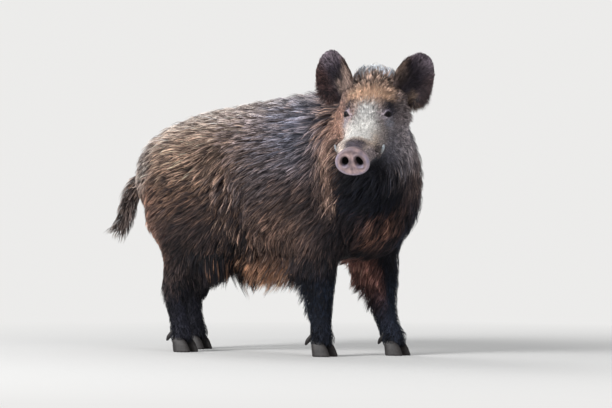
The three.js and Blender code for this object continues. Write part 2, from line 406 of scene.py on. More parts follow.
FLESH = ["trunk", "neck", "head", "lower_jaw", "tail", "tail_tassel"]
FLESH += [f"{leg}_leg_{half}" for leg in FEET for half in ("upper", "lower")]
JOINING_VOXEL, SKIN_VOXEL = 6.5 * MM, 7 * MM
SINKING_STEPS = 4
FAR_SIDE, SUNK_PART = 0.15, 0.3  # how far a sight line goes, and the part of it that the skin may sink
EAR_POSES = {  # root in the head's frame, lean outwards, tip forwards, turn
    "right": ((26, -84, 72), 0.4, -0.1, -0.25),
    "left": ((26, 80, 73), -0.74, -0.1, 0.35)}
TAIL = np.array([  # along the body, up, half-thickness of its hair
    [-440, 545, 32], [-498, 515, 26], [-533, 468, 28], [-546, 425, 29], [-562, 385, 29], [-592, 350, 18],
    [-606, 332, 10]])


def leg_line(leg):
    """Rows of height, along, aside, half-width, reach ahead and reach behind, from the foot up."""
    x, y = FEET[leg]
    side = math.copysign(1, y)
    lean = 72 if leg == "front_left" else 0
    if leg.startswith("front"):
        top = x - lean
        lines = [(34, x + 2, abs(y), 34, 34, 36), (60, top + 0.94 * lean, abs(y), 35, 35, 41),
                 (100, top + 0.68 * lean, abs(y), 32, 33, 42), (155, top + 0.45 * lean, 99, 37, 40, 52),
                 (205, top + 0.3 * lean, 104, 43, 50, 74), (262, top + 0.12 * lean - 4, 109, 56, 64, 112),
                 (330, top - 10, 112, 68, 80, 112), (420, top - 16, 108, 80, 106, 118)]
    else:
        lines = [(34, x + 2, abs(y), 34, 34, 38), (62, x - 4, abs(y), 35, 35, 41),
                 (125, x - 18, 92, 32, 32, 38), (185, x - 22, 94, 38, 62, 54),
                 (232, x - 2, 98, 48, 112, 80), (285, x + 22, 101, 62, 138, 112),
                 (360, x + 28, 102, 80, 158, 138), (450, x + 2, 92, 92, 160, 148)]
    table = np.array(lines, float)
    table[:, 2] *= side
    return table


LEG_LINES = {leg: leg_line(leg) for leg in FEET}


def nearest_leg(b):
    """For each point: which leg it is nearest, how far it lies ahead and aside of that leg's line, how far
    out that is in shares of the leg's thickness, and the line's own row there."""
    which = np.where(b[:, 0] > 0, 0, 2) + (b[:, 1] > 0)
    table = np.zeros((len(b), 5))
    for i, leg in enumerate(FEET):
        mine = which == i
        for j in range(5):
            table[mine, j] = np.interp(b[mine, 2], LEG_LINES[leg][:, 0], LEG_LINES[leg][:, j + 1])
    ahead, aside = b[:, 0] - table[:, 0], b[:, 1] - table[:, 1]
    reach = np.hypot(ahead / np.where(ahead > 0, table[:, 3], table[:, 4]), aside / table[:, 2])
    return which, ahead, aside, reach, table


def leg_share(b):
    """How much a point belongs to the free part of a leg."""
    return fade(b[:, 2], 210, 330) * (1 - ease(nearest_leg(b)[3], 1.1, 1.4) * (b[:, 2] > 150))


def tail_share(b):
    return ease(b[:, 0], -470, -500) * (b[:, 2] < 560)


def along_tail(b):
    """How far down the tail's line a point lies, from 0 to 1, and the line's own place there."""
    steps = np.linspace(0, 1, 60)
    place = np.linspace(0, 1, len(TAIL))
    line = ways(np.interp(steps, place, TAIL[:, 0]), 0, np.interp(steps, place, TAIL[:, 1]))
    near = np.argmin(((b[:, None, :] - line[None]) ** 2).sum(2), 1)
    return steps[near], line[near]


def ear_axes(side):
    """The ear's root and its three ways: across (to the left), along (to the tip) and out of its hollow."""
    at, lean, tip, turn = EAR_POSES[side]
    turned = Matrix.Rotation(turn, 3, "Z") @ Matrix.Rotation(tip, 3, "Y") @ Matrix.Rotation(lean, 3, "X")
    return from_head(at), HEAD_AXES @ np.array(turned) @ np.array([[0, 0, 1], [1, 0, 0], [0, 1, 0]], float)


def joined(parts):
    """The solids of the given nodes in one shape, each without what lies under its cut's height."""
    whole = bmesh.new()
    for node, cut in parts:
        shape = bmesh.new()
        shape.from_mesh(frame["nodes"][node].data)
        bmesh.ops.remove_doubles(shape, verts=shape.verts, dist=1e-5)
        if cut is not None:
            bmesh.ops.bisect_plane(
                shape, geom=shape.verts[:] + shape.edges[:] + shape.faces[:], dist=1e-6,
                plane_co=Vector((0, 0, cut)), plane_no=Vector((0, 0, -1)), clear_outer=True)
            bmesh.ops.holes_fill(shape, edges=shape.edges, sides=0)
        carrier = bpy.data.meshes.new("carrier")
        shape.to_mesh(carrier)
        shape.free()
        whole.from_mesh(carrier)
        bpy.data.meshes.remove(carrier)
    return whole


def rough_body(voxel):
    """Every flesh solid, and what sits in the flesh, as one closed shape."""
    parts = [(node, None) for node in FLESH + ["eye_left", "eye_right"]]
    parts += [(f"{leg}_hoof_{toe}", 30 * MM) for leg in FEET for toe in ("right", "left")]
    whole = joined(parts)
    # The ears' sockets are stopped up.
    for side in EAR_POSES:
        root, axes = ear_axes(side)
        place = Matrix.Translation(Vector(root - axes[:, 1] * 8 * MM + axes[:, 2] * 6 * MM))
        turn = Matrix([list(row) for row in axes]).to_4x4()
        size = Matrix.Diagonal((46 * MM, 26 * MM, 24 * MM, 1))
        bmesh.ops.create_icosphere(whole, subdivisions=3, radius=1, matrix=place @ turn @ size)
    mesh = bpy.data.meshes.new("skin")
    whole.to_mesh(mesh)
    whole.free()
    body = object_of("skin", mesh)
    made_whole(body, voxel)
    return body


def made_whole(body, voxel):
    """Remeshes the body as one closed surface."""
    remesh = body.modifiers.new("whole", "REMESH")
    remesh.mode = "VOXEL"
    remesh.voxel_size = voxel
    remesh.use_smooth_shade = True
    settled(body)


def squeezed(b):
    """The flesh under the long fringes of the legs and the tail."""
    b = b.copy()
    which, ahead, _, reach, table = nearest_leg(b)
    free = fade(b[:, 2], 290, 370) * (1 - ease(reach, 1.1, 1.5) * (b[:, 2] > 150))
    fore = which < 2
    behind = np.where(fore, 17 * ease(b[:, 2], 120, 220), 8 * ease(b[:, 2], 140, 200)) * free
    b[:, 0] = table[:, 0] + ahead * np.where(ahead > 0, 1, 1 - behind / table[:, 4])
    down, line = along_tail(b)
    share = rows(tail_share(b))
    flesh = rows(mix(0.62, 0.3, ease(down, 0.2, 1.0)))
    return mix(b, line + (b - line) * flesh, share)


def coat_depth(points, normals):
    """How far the skin lies under the tips of the coat, in millimetres."""
    b, q = in_body(points), in_head(points)
    z, up = b[:, 2], normals[:, 2]
    depth = np.full(len(points), 25.0)
    depth += 9 * ease(up, 0.55, 0.95) * ease(z, 560, 700)  # the ridge of the back
    depth += 8 * ease(-up, 0.3, 0.9)
    thin = fade(z, 320, 470) * (1 - ease(nearest_leg(b)[3], 1.05, 1.35) * (z > 150))
    depth = mix(depth, mix(7.0, 13.0, ease(z, 110, 330)), thin)
    depth = mix(depth, 2.0, tail_share(b))
    ahead, tells = flank_fold(b)
    depth += (14 * hill(ahead, -20, 14) - 9 * hill(ahead, 8, 14)
              + 6 * hill(ahead, 38, 12) - 3 * hill(ahead, 58, 14)) * tells
    # The face has short hair, the cheeks and the crown longer.
    x, y, z = mirrored(q).T
    depth = mix(depth, 12.0, crown_share(q))
    near = 3.5 + 2.5 * ease(x, 300, 120) + 6 * ease(x, 90, 10) * ease(z, 60, 110)
    near += 16 * ease(x, 190, 60) * ease(z, 10, -70)
    near += 8 * ease(x, 110, 20) * ease(y, 60, 95)
    return mix(depth, near, face_from(q))


def head_forms(q):
    """Millimetres that the face's forms stand out of, or sink into, the plain head."""
    s = mirrored(q)
    out = -10.0 * knob(s, (136, 62, 43), (22, 26, 17))  # eye sockets
    out += 8.5 * knob(s, (118, 50, 71), (28, 20, 13))  # brows
    out += 6.0 * knob(s, (96, 92, 4), (40, 30, 24))  # cheekbones
    out -= 5.0 * knob(s, (176, 66, 12), (26, 22, 22))  # hollow between cheek and muzzle
    out -= 4.0 * knob(s, (205, 0, 60), (50, 34, 22))  # dished bridge
    out += 4.0 * knob(s, (225, 42, 36), (60, 13, 14))  # ridges beside the nasal bone
    out += 19.0 * knob(s, (280, 56, 4), (34, 26, 26))  # upper lips, lifted by the tusks' roots
    out += 6.0 * knob(s, (312, 44, 16), (18, 18, 20))
    out += 3.0 * knob(s, (300, 14, 44), (30, 20, 16))
    out += 3.5 * knob(s, (300, 0, -56), (40, 34, 14))  # chin
    x, y, z = q.T
    mouth = -22 - 6 * ease(x, 250, 235)
    out -= 5.0 * hill(z, mouth, 3.4) * ease(x, 224, 244) * fade(x, 342, 352)
    out += 2.0 * hill(z, mouth + 9, 6) * ease(x, 224, 244)
    wrinkles = np.sin(x * 2 * math.pi / 9.5 + 0.5 * np.sin(y / 14))
    out += 1.1 * wrinkles * ease(x, 306, 320) * fade(x, 340, 348) * ease(z, -8, 14)
    return out


def moved(mesh, places):
    mesh.vertices.foreach_set("co", places.ravel())
    mesh.update()


def build_skin():
    """The flesh as one closed skin, under the solids' surface by the coat's depth. Where a sight line
    inwards meets the far side, it sinks by no more than a part of that way."""
    body = rough_body(JOINING_VOXEL)
    places, triangles = mesh_arrays(body.data)
    edges = mesh_edges(body.data)
    b = in_body(places)
    head = ease(in_head(places)[:, 0], -10, 40) * (1 - ease(head_reach(in_head(places)), 1.1, 1.3))
    stiff = np.maximum(np.maximum(leg_share(b), tail_share(b)), 0.8 * head)
    places = relaxed(places, edges, 60, 1 - 0.9 * stiff, back=-1)
    places = relaxed(places, edges, 30, 1 - 0.7 * stiff)
    places = BODY_AT + squeezed(in_body(places)) * MM
    places = relaxed(places, edges, 10, 1 - 0.6 * stiff)
    inward = -normals_of(places, triangles)
    depth = coat_depth(places, -inward)
    tree = tree_of(places, triangles)
    for i, (start, way) in enumerate(zip(places + inward * 2 * MM, inward)):
        gap = tree.ray_cast(Vector(start), Vector(way), FAR_SIDE)[3]
        if gap is not None:
            depth[i] = min(depth[i], SUNK_PART * gap / MM)
    depth = relaxed(np.stack([depth] * 3, 1), edges, 10)[:, 0]
    for _ in range(SINKING_STEPS):  # short steps, so that folds do not cross
        places = places - normals_of(places, triangles) * rows(depth) * MM / SINKING_STEPS
        places = relaxed(places, edges, 4, 0.8 - 0.5 * stiff)
    moved(body.data, places)
    made_whole(body, SKIN_VOXEL)
    places, _ = mesh_arrays(body.data)
    edges = mesh_edges(body.data)
    b = in_body(places)
    places = relaxed(places, edges, 24, 1 - 0.8 * np.maximum(leg_share(b), tail_share(b)))
    q = in_head(places)
    crown = ease(q[:, 0], -130, -70) * fade(q[:, 0], 20, 50) * ease(q[:, 2], 50, 80)
    places = relaxed(places, edges, 160, crown)
    moved(body.data, places)

    # The head is refined, and the face once more.
    for start in (20, 95):
        shape = bmesh.new()
        shape.from_mesh(body.data)
        points = np.array([v.co[:] for v in shape.verts])
        q = in_head(points)
        wanted = (q[:, 0] > start) & (head_reach(q) < 1.12)
        cuts = [e for e in shape.edges if wanted[e.verts[0].index] and wanted[e.verts[1].index]]
        bmesh.ops.subdivide_edges(shape, edges=cuts, cuts=1, use_grid_fill=True)
        shape.to_mesh(body.data)
        shape.free()
    places, triangles = mesh_arrays(body.data)
    edges = mesh_edges(body.data)
    q = in_head(places)
    head = ease(q[:, 0], 20, 50) * fade(head_reach(q), 1.1, 1.2)
    places = relaxed(places, edges, 40, head)
    places = places + normals_of(places, triangles) * rows(head_forms(in_head(places)) * head) * MM
    places = relaxed(places, edges, 2, head)
    moved(body.data, places)
    return body


SIGNS = {"right": -1, "left": 1}


def ear_points(side, across, along, face, edge=0.82, thick=3.0):
    """Places on an ear's leaf. across runs -1 to 1, along 0 to 1 from root to tip, face is 1 inside and
    -1 outside."""
    root, axes = ear_axes(side)
    sign = SIGNS[side]
    round_off = np.sqrt(np.clip(1 - (2 * np.clip(along, 0.0, 1) - 1) ** 2, 0, 1))
    full = np.where(along < 0.42, np.maximum(round_off, mix(0.5, 1.0, ease(along, -0.1, 0.4))), round_off)
    a = across * full
    outer = np.clip(across * sign, 0, 1)
    width = 61 * (1.15 - 0.15 * along) * edge
    hang = outer * np.clip(1 - along, 0, 1) ** 1.5
    x = a * (width + 22 * hang)
    y = along * 134 * 0.95 - (44 if side == "left" else 26) * hang * np.abs(a)
    hollow = 38 * (a * edge) ** 2 + 5 * np.sin(math.pi * np.clip(along, 0, 1)) * (a ** 2 - 0.4)
    z = face * thick * np.sqrt(np.clip(1 - across ** 2, 0, 1)) * (1 - 0.55 * along) + hollow
    folds = 1.2 * np.cos(a * 15) * (1 - along) * np.sin(math.pi * np.clip(along, 0, 1)) * (face > 0)
    return root + np.stack([x, y, z + folds], -1) * MM @ axes.T


def ear_mesh(side, columns=56, lines=26):
    """Both faces of one ear as a closed leaf."""
    turn = np.arange(columns) * 2 * math.pi / columns
    face = np.where(np.sin(turn) >= 0, 1, -1)
    rings = []
    for j in range(lines):
        along = -0.1 + 1.097 * (j / (lines - 1)) ** 0.9
        rings.append(ear_points(side, -np.cos(turn), np.full(columns, along), face))
    points = np.vstack(rings + [rings[-1].mean(0), rings[0].mean(0)])
    return outward(mesh_of(f"ear_{side}", points, tube_faces(columns, lines, "tf")))


skin = build_skin()
ears = {side: object_of(f"ear_skin_{side}", ear_mesh(side)) for side in EAR_POSES}


# ------------------------------------------------------------------ eyes, lids, nose disc, horn

LID_LONG, LID_UP, LID_DOWN = 0.88, 0.56, 0.44  # half-openings of the lids, in radians
BALL = 12.8  # the eyeball's radius, in millimetres
NOSTRIL = (21, 3)  # a nostril's middle on the disc: aside and up, in millimetres


def eye_axes(sign):
    """The eye's middle in the head's frame, and its ways: out, to the inner corner, up."""
    gaze = unit(np.array((0.58, 0.66 * sign, 0.30)))
    inner = np.array((1.0, 0, 0.35))
    inner = unit(inner - gaze * (inner @ gaze))
    up = np.cross(gaze, inner)
    return EYE_AT / MM * [1, sign, 1], gaze, inner, up * np.sign(up[2])


def ball_mesh(name, middle, axis, radius, columns=48, lines=32):
    """A ball whose poles lie on axis, with each point's angle from the axis as a measure."""
    axis = unit(np.asarray(axis))
    first = unit(np.cross(axis, (0.1, 0.2, 1.0)))
    second = np.cross(axis, first)
    points, turn = [], []
    for j in range(1, lines):
        off = math.pi * j / lines
        for i in range(columns):
            a = 2 * math.pi * i / columns
            away = (first * math.cos(a) + second * math.sin(a)) * math.sin(off)
            points.append(middle + radius * (axis * math.cos(off) + away))
            turn.append(off)
    points += [middle + radius * axis, middle - radius * axis]
    mesh = mesh_of(name, from_head(points), tube_faces(columns, lines - 1, "ft"))
    measured(mesh, from_axis=turn + [0, math.pi])
    return outward(mesh)


def lid_points(sign, tree, columns=56):
    """Rings of the lids, from the rim on the ball to the skin round the eye."""
    middle, gaze, inner, up = eye_axes(sign)
    turn = np.arange(columns) * 2 * math.pi / columns
    c, v = np.cos(turn), np.sin(turn)
    tall = np.where(v > 0, LID_UP, LID_DOWN)
    rings = []
    for wider, radius in ((-0.03, BALL - 1.2), (0.0, BALL + 0.5), (0.05, BALL + 1.5), (0.13, BALL + 1.9),
                          (0.24, BALL + 1.2), (0.34, BALL + 0.3), (0.46, BALL + 1.1)):
        a = (LID_LONG + wider) * c
        b = (tall * np.abs(v) ** 0.15 + wider) * v + 0.05 * c
        way = unit(gaze + np.outer(np.tan(a), inner) + np.outer(np.tan(b), up))
        rings.append(middle + way * radius)
    far = middle + np.outer(31 * c, inner) + np.outer(25 * v, up) + gaze * 4
    shore = []
    for p in from_head(far):
        spot, normal = tree.find_nearest(Vector(p))[:2]
        shore.append(np.array(spot) - np.array(normal) * 2.0 * MM)
    last, shore = rings[-1], in_head(np.array(shore))
    for share in (0.16, 0.34, 0.54, 0.76, 1.0):
        smooth = ease(share, 0, 1)
        rings.append(last * (1 - smooth) + shore * smooth)
    return np.concatenate(rings), len(rings)


def with_lids(body):
    """Adds the lids to the body's mesh, their rims on the eyeballs and their edges under the skin."""
    tree = tree_of(*mesh_arrays(body.data))
    whole = bmesh.new()
    whole.from_mesh(body.data)
    for sign in SIGNS.values():
        points, lines = lid_points(sign, tree)
        faces = tube_faces(len(points) // lines, lines)
        if sign > 0:
            faces = [face[::-1] for face in faces]
        lid = mesh_of("lids", from_head(points), faces)
        gaze = HEAD_AXES @ eye_axes(sign)[1]
        if (normals_of(*mesh_arrays(lid)) @ gaze).mean() < 0:
            lid.flip_normals()
        whole.from_mesh(lid)
        bpy.data.meshes.remove(lid)
    whole.to_mesh(body.data)
    whole.free()
    body.data.shade_smooth()


with_lids(skin)


def lid_opening(q):
    """For places in the head's frame: how many times wider than the lids' opening they are, per eye."""
    out = np.full(len(q), 99.0)
    for sign in (-1, 1):
        middle, gaze, inner, up = eye_axes(sign)
        away = q - middle
        ahead = away @ gaze
        a = np.arctan2(away @ inner, ahead)
        v = np.arctan2(away @ up, ahead) - 0.05 * np.cos(a)
        tall = np.where(v > 0, LID_UP, LID_DOWN)
        here = np.hypot(a / LID_LONG, v / tall)
        close = (np.linalg.norm(away, axis=1) < 34) & (ahead > 0)
        out = np.where(close, np.minimum(out, here), out)
    return out


def disc_mesh(columns=144, lines=64):
    """The nose disc: a domed, wrinkled front with two nostrils, and a side that runs back into the snout."""
    turn = np.arange(columns) * 2 * math.pi / columns
    c, v = np.cos(turn), np.sin(turn)
    reach = (np.abs(c / 51) ** 2.05 + np.abs(v / np.where(v > 0, 44, 43)) ** 2.05) ** (-1 / 2.05)
    reach = reach * (1 - 0.018 * np.sin(3 * turn))
    rings = []
    for j in range(1, lines + 1):
        share = j / lines
        out = share ** 0.9
        y, z = reach * c * out * 0.985, reach * v * out * 0.985
        x = 370.5 - 2.2 * out ** 4 - 3.5 * ease(out, 0.93, 1.0)
        x = x + 1.6 * hill(out, 0.86, 0.12) * (0.6 + 0.4 * np.clip(v, -0.4, 1)) - 1.2 * hill(out, 0.62, 0.2)
        for side in (-1, 1):
            dy, dz = y - side * NOSTRIL[0], z - NOSTRIL[1]
            slant = 0.35 * side
            p = dy * math.cos(slant) + dz * math.sin(slant)
            r = -dy * math.sin(slant) + dz * math.cos(slant)
            far = np.hypot(p / 11.4, r / 16.2)
            x = x - 22 * fade(far, 0.62, 1.04) + 2.4 * hill(far, 1.28, 0.22)
            tail = np.hypot((dy - side * 9) / 7, (dz + 7) / 3.2)
            x = x - 5 * fade(tail, 0.2, 1.1) * ease(far, 0.8, 0.95)
        x = x - 1.5 * hill(y, 0, 2.8) * ease(np.abs(z - 2), 2, 14) * fade(out, 0.8, 0.98)
        x = x - 0.5 * np.cos(turn * 26) * hill(out, 0.97, 0.06)
        rings.append(np.stack([np.minimum(x, 372.0), y, z], 1))
    for x, out in ((364.0, 0.99), (360, 0.975), (356, 0.945), (351, 0.90), (344, 0.86), (336, 0.82)):
        rings.append(np.stack([np.full(columns, x), reach * c * out, reach * v * out], 1))
    points = np.vstack(rings + [(370.3, 0, 0), (336, 0, 0)])
    return outward(mesh_of("nose_disc_fine", from_head(points), tube_faces(columns, len(rings), "ft")))


def horn_mesh(name, path, radii, squash, steps=28, columns=16):
    """A curved, tapered horn with a closed, rounded tip. path is in metres of the frame, the radii along it
    are in millimetres."""
    path, radii = np.array(path), np.array(radii) * MM
    share = np.linspace(0, 1, steps)
    own = np.linspace(0, 1, len(path))
    line = np.stack([np.interp(share, own, path[:, i]) for i in range(3)], 1)
    for _ in range(6):
        line[1:-1] = (line[:-2] + 2 * line[1:-1] + line[2:]) / 4
    thick = np.interp(share, own, radii) * np.sqrt(np.clip(1 - ease(share, 0.9, 1.0) * 0.92, 0.02, 1))
    course = unit(np.gradient(line, axis=0))
    side = unit(np.cross(course, (0.2, 0.1, 1.0)))
    other = np.cross(side, course)
    points = []
    for j in range(steps):
        for i in range(columns):
            a = 2 * math.pi * i / columns
            points.append(line[j] + thick[j] * (side[j] * math.cos(a) + other[j] * math.sin(a) * squash))
    points += [line[0], line[-1] + course[-1] * thick[-1] * 0.5]
    mesh = mesh_of(name, points, tube_faces(columns, steps, "ft"))
    measured(mesh, down_horn=np.concatenate([np.repeat(share, columns), (0.0, 1.0)]))
    return outward(mesh)


def hoof_mesh(name, x, y, side, columns=40):
    """One toe's hoof: rounded walls with growth rings, over a flat sole."""
    points = []
    levels = [(0.0, 0.90), (0.8, 0.955), (2.4, 0.985)] + [(h, 1.0) for h in np.linspace(5, 44, 24)]
    for height, scale in levels:
        up = height / 46
        narrow = float(np.interp(up, (0, 0.45, 0.7, 1), (1.0, 0.90, 0.80, 0.52)))
        back = np.interp(up, (0, 0.5, 1), (0, 6, 14))
        size = narrow * scale * (1 + 0.012 * math.sin(height * 1.9) * (height > 3))
        for i in range(columns):
            c, v = math.cos(2 * math.pi * i / columns), math.sin(2 * math.pi * i / columns)
            reach = 36 if c > 0 else 24
            outwards = 16 if v * side > 0 else 13
            points.append((x + 6 - back + reach * size * c,
                           y + side * 1.5 + outwards * size * v * (1 - 0.25 * c), height))
    points += [(x + 6, y, 0.0), (x - 6, y, 44)]
    return outward(mesh_of(name, BODY_AT + np.array(points) * MM, tube_faces(columns, len(levels), "ft")))


def eye_paint(net):
    off = net.measure("from_axis")
    fibres = net.noise(900, 3)
    iris = net.blend(fibres, (0.003, 0.002, 0.003, 1), (0.007, 0.005, 0.005, 1))
    colour = net.blend(net.between(off, 0.30, 0.35), (0.0015, 0.0015, 0.002, 1), iris)
    colour = net.blend(net.between(off, 0.60, 0.72), colour, (0.006, 0.004, 0.004, 1))
    colour = net.blend(net.between(off, 0.88, 1.0), colour, (0.016, 0.012, 0.013, 1))
    return {"Base Color": colour, "Roughness": 0.05, "IOR": 1.36, "Specular IOR Level": 0.15}


def disc_paint(net):
    broad, fine = net.noise(55, 3), net.noise(420, 4, 0.6)
    colour = net.blend(net.between(broad, 0.3, 0.7), (0.41, 0.285, 0.275, 1), (0.15, 0.110, 0.125, 1))
    colour = net.blend(net.between(fine, 0.52, 0.72) * 0.5, colour, (0.36, 0.27, 0.26, 1))
    rim, halo = net.measure("rim"), net.measure("halo")
    # Painted shade round the nostrils, with a darker top, then a painted lavender highlight along the rim and
    # under the nostrils.
    colour = net.blend(halo * 0.8, colour, (0.060, 0.040, 0.044, 1))
    colour = net.blend(rim * (broad * 0.95), colour, (0.27, 0.245, 0.345, 1))
    speckle = net.noise(900, 3, 0.7)
    colour = net.blend(net.between(speckle, 0.55, 0.68) * 0.6, colour, (0.05, 0.036, 0.040, 1))
    # The nostrils' wells are painted near black, as shade.
    well = net.between(net.measure("well"), 0.1, 0.9)
    colour = net.blend(well, colour, (0.003, 0.002, 0.002, 1))
    pores = net.add("ShaderNodeBump", {}, {"Strength": 0.8, "Distance": 0.0016, "Height": fine + broad * 0.9})
    return {"Base Color": colour, "Roughness": 0.42 + well * 0.55, "Specular IOR Level": 0.4, "Normal": pores}


def tusk_paint(net):
    down = net.measure("down_horn")
    grain = net.noise(260, 3)
    pale = net.between(down + grain * 0.3, 0.35, 1.0)
    colour = net.blend(pale, (0.17, 0.15, 0.13, 1), (0.27, 0.30, 0.33, 1))
    return {"Base Color": colour, "Roughness": 0.28, "Specular IOR Level": 0.5}


def hoof_paint(net):
    grain = net.noise(160, 3)
    colour = net.blend(net.between(grain, 0.3, 0.75), (0.009, 0.008, 0.009, 1), (0.034, 0.029, 0.028, 1))
    worn = net.add("ShaderNodeBump", {}, {"Strength": 0.3, "Distance": 0.0008, "Height": grain})
    return {"Base Color": colour, "Roughness": 0.55, "Specular IOR Level": 0.35, "Normal": worn}


def declared(piece, nodes=()):
    """Hides the solids that a piece stands for, and lets the piece ride on the body."""
    if nodes:
        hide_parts(*nodes)
    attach(piece, "root")


def placed(mesh, material, node, slot):
    declared(object_of(mesh.name, mesh, material), [node])


eye_gloss, disc_skin = finish("eye_gloss", eye_paint), finish("disc_skin", disc_paint)
ivory, hoof_horn = finish("ivory", tusk_paint), finish("hoof_horn", hoof_paint)
for side, sign in SIGNS.items():
    middle, gaze, *_ = eye_axes(sign)
    placed(ball_mesh(f"eyeball_{side}", middle, gaze, BALL), eye_gloss, f"eye_{side}", "eye")
    path = [(266, 44 * sign, -22), (271, 60 * sign, -16), (269, 69 * sign, -4), (264, 73 * sign, 9)]
    placed(horn_mesh(f"tusk_fine_{side}", from_head(path), (6.6, 6.4, 5.4, 2.6), 0.8), ivory,
           f"tusk_{side}", "tusk")


def from_nostrils(y, z, middle, reach):
    """How far a place on the disc lies from the nearer of a pair of spots, in shares of their size."""
    return np.minimum(*(np.hypot((y - sign * middle[0]) / reach[0], (z - middle[1]) / reach[1])
                        for sign in (-1, 1)))


disc = disc_mesh()
x, y, z = in_head(mesh_arrays(disc)[0]).T
# rim is a painted lavender highlight along the disc's edge and under the nostrils, fainter at the top; halo
# is painted shade round the nostrils, with a darker top; well is painted shade deep in the nostrils.
rim = ease(np.hypot(y / 50, z / 43), 0.74, 0.96)
under = fade(from_nostrils(y, z, (21, -11), (14, 7)), 0.6, 1.2)
around = fade(from_nostrils(y, z, (21, 5), (13, 16)), 0.9, 1.55)
measured(disc, well=ease(366 - x, 0, 10) * (x > 340) * (np.hypot(y, z) < 38),
         rim=np.clip(rim + 0.8 * under, 0, 1) * (1 - 0.8 * ease(z, 14, 34)),
         halo=np.maximum(around, 0.45 * ease(z, 20, 38)))
placed(disc, disc_skin, "nose_disc", "nose_skin")

for leg, (x, y) in FEET.items():
    for toe, side in SIGNS.items():
        node = f"{leg}_hoof_{toe}"
        placed(hoof_mesh(f"{node}_fine", x, y + side * 19, side), hoof_horn, node, "horn")
        node = f"{leg}_dewclaw_{toe}"
        low, high = (np.array(v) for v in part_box(node))
        claw = [BODY_AT + np.array((x - 24, y + side * 18, 62)) * MM,
                BODY_AT + np.array((x - 38, y + side * 21, 46)) * MM,
                np.array((low[0] + 4 * MM, (low[1] + high[1]) / 2, low[2] + 4 * MM))]
        placed(horn_mesh(f"{node}_fine", claw, (7.5, 8.0, 3.0), 0.85, steps=14), hoof_horn, node, "horn")


# ------------------------------------------------------------------ the coat's colours and lie
# Each is reckoned from the place alone, so that the skin and the coat on it carry the same markings.

CREAM, SAND, OCHRE = (0.92, 0.80, 0.71), (0.74, 0.48, 0.345), (0.46, 0.262, 0.165)
BRIGHTEST = 0.92  # no channel of a golden hair goes over it
# The last of these is a painted bluish sheen of sky light on dark hair, not the hair's own colour.
DARK, BLACK, SKY_SHEEN = (0.040, 0.032, 0.036), (0.010, 0.010, 0.014), (0.44, 0.53, 0.74)


def tint(base, colour, share):
    """Blends a colour, or a row of colours, over a base by a share for each row."""
    return mix(base, np.array(colour), np.clip(share, 0, 1).reshape(-1, 1))


def dyed(root, tip, share, root_colour, tip_colour, strength=1.0):
    """Blends one colour over the hair's root by a share for each row, and one over its tip by that share
    times the strength."""
    return tint(root, root_colour, share), tint(tip, tip_colour, strength * share)


def shades(low, high, share):
    """A colour for each row, between two."""
    return mix(np.array(low), np.array(high), rows(share))


